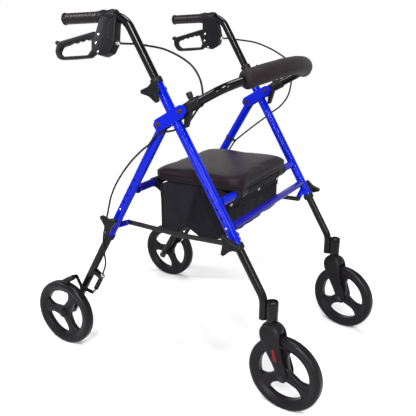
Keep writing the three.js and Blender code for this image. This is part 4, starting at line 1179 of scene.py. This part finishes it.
# ---------- brake cables ----------
CABLES = {
    "R": {
        "upper": [(263.3, 109, 886), (263.3, 105, 886), (258, 98.5, 885.5), (248, 92.5, 885),
                  (237.5, 87.5, 884.5), (230, 76.5, 883.5), (228.3, 58, 881), (228.5, 8, 874),
                  (229, -38, 858), (229, -72, 838), (228.5, -92, 812), (228, -100, 786), (228, -101, 762.5)],
        "middle": [(228, -101, 762.5), (227.5, -92, 744), (226.5, -77, 724), (226, -62, 705),
                   (227, -46, 692), (233, -31, 684), (244, -20, 680), (256, -11, 679), (263.5, -1, 676),
                   (264.5, 12, 668),
                   (264.3, 24, 656), (263.5, 35.5, 642.7)],
        "lower": [(263.5, 35.5, 642.7), (264, 60, 624), (264, 98, 588), (264, 138, 538), (262, 166, 490),
                  (263, 181, 440), (264.5, 192, 400), (264.5, 200, 368), (262, 205, 340), (257, 208, 312),
                  (250, 212, 274), (245, 229.6, 236)],
    },
    "L": {
        "upper": [(263.3, 109, 886), (263.3, 88, 886), (262.5, 60, 883), (262, 0, 876), (262, -48, 861),
                  (262, -84, 844), (262, -112, 826), (262, -128, 800), (262, -131, 772.5)],
        "middle": [(262, -131, 772.5), (262.5, -121, 722), (263.5, -97, 687), (263.5, -68, 664),
                   (263.5, -47, 647), (262, -12, 620), (256, 24, 590), (249.8, 56, 561.8)],
        "lower": [(249.8, 56, 561.8), (247, 87, 511), (247, 117, 461), (247, 134, 431), (246, 157, 389),
                  (246, 176, 353), (245.5, 190, 320), (245, 205, 282), (245, 229.6, 236)],
    },
}


# A point on each lower cable: the left at its start, the right once it has passed the rear knob.
LOWER_HELD = {"L": (249.8, 56, 561.8), "R": (264.5, 200, 368)}


def cables(tag):
    """One side's three jackets, each laid along its route."""
    side = Side(tag)
    for name, route in CABLES[tag].items():
        line = spline(route, 7)
        made = piece(f"cable_{name}_jacket_{tag}", [sweep(line, CABLE_R, 14)], CABLE, None,
                     [f"cable_{name}_{tag}"], side)
        start = Vector(LOWER_HELD[tag]) if name == "lower" else line[0]
        side.place(start) * MM
        side.place(line[-1]) * MM
        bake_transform(made)
    if tag == "L":
        clip(side, Vector(CABLES[tag]["lower"][0]))


def clip(side, place):
    """The band on the rear tube that holds the cable."""
    centre = rear_at_z(place.z)
    centre += rear_down * (place - centre).dot(rear_down)
    reach = (place - centre).normalized()
    band = mirrored([(12.75, -4), (13.6, -4), (14, -3.4)])
    parts = [
        lathe(band, centre, rear_down, 36),
        rod(centre + reach * 13, place + reach * 1.5, 3.6, 4, 0.8),
        rod(place - rear_down * 4, place + rear_down * 4, 3.8, 20, 0.8),
    ]
    piece(f"cable_clip_{side.tag}", parts, PLASTIC, "rear_frame", side=side)


# ---------- the whole walker ----------
for tag in "LR":
    side_frame(tag)
    handle(tag)
    front_leg(tag)
    caster(tag)
    rear_leg(tag)
    brake_arm(tag)
    brace("brace_front", BRACE_FRONT, (221.5, 224.5), (224, 226), tag)
    brace("brace_rear", BRACE_REAR, (217.5, 220.5), (218, 215.5), tag)
    cables(tag)
cross_tubes()
backrest()
seat()
bag()


# ---------- camera, floor and light ----------
def look(azimuth, elevation):
    a, e = math.radians(azimuth), math.radians(elevation)
    return Vector((math.sin(a) * math.cos(e), -math.cos(a) * math.cos(e), math.sin(e)))


def aimed(name, data, place, towards):
    """A camera or a light at a place, turned towards a direction."""
    made = bpy.data.objects.new(name, data)
    bpy.context.scene.collection.objects.link(made)
    made.location = place
    made.rotation_euler = towards.to_track_quat("-Z", "Y").to_euler()
    return made


def camera():
    lens = bpy.data.cameras.new("camera")
    lens.lens = 48.78
    lens.sensor_width = 36
    bpy.context.scene.camera = aimed("camera", lens, (-1.3957, -0.7871, 0.9345), -look(-60.10, 18.22))


def panel(name, azimuth, elevation, distance, size, power):
    """A soft rectangular light, aimed at the middle of the walker."""
    light = bpy.data.lights.new(name, "AREA")
    light.shape = "RECTANGLE"
    light.size, light.size_y = size
    light.energy = power
    direction = look(azimuth, elevation)
    aimed(name, light, Vector((0, 0, 0.5)) + direction * distance, -direction)


def studio():
    """A plain pale floor, five soft panels, and a surround that is white low down and darker overhead."""
    bpy.ops.mesh.primitive_plane_add(size=3.0)
    floor = bpy.context.object
    floor.name = "floor"
    floor.data.materials.append(surface("floor_paint", (0.60, 0.60, 0.60), 0.8, tone=0.01, gloss=0.1))
    world = bpy.data.worlds.new("world")
    world.use_nodes = True
    tree = world.node_tree
    direction = node(tree, "ShaderNodeTexCoord").outputs["Generated"]
    height = node(tree, "ShaderNodeSeparateXYZ", Vector=direction).outputs["Z"]
    glow = mapped(tree, height, From_Min=0.38, From_Max=0.6, To_Min=1.0, To_Max=0.12)
    tree.links.new(glow, tree.nodes["Background"].inputs["Strength"])
    tree.nodes["Background"].inputs["Color"].default_value = (1, 1, 1, 1)
    bpy.context.scene.world = world
    panel("key", -66, 42, 5.0, (0.8, 1.6), 360)
    panel("left_strip", -84, 9, 5.0, (0.3, 2.0), 100)
    panel("right_strip", -36, 22, 5.0, (0.3, 2.2), 120)
    panel("side", -150, 35, 5.0, (0.7, 2.0), 150)
    panel("top", 60, 80, 4.5, (2.0, 2.0), 230)
    bpy.context.scene.view_settings.view_transform = "Standard"


camera()
studio()
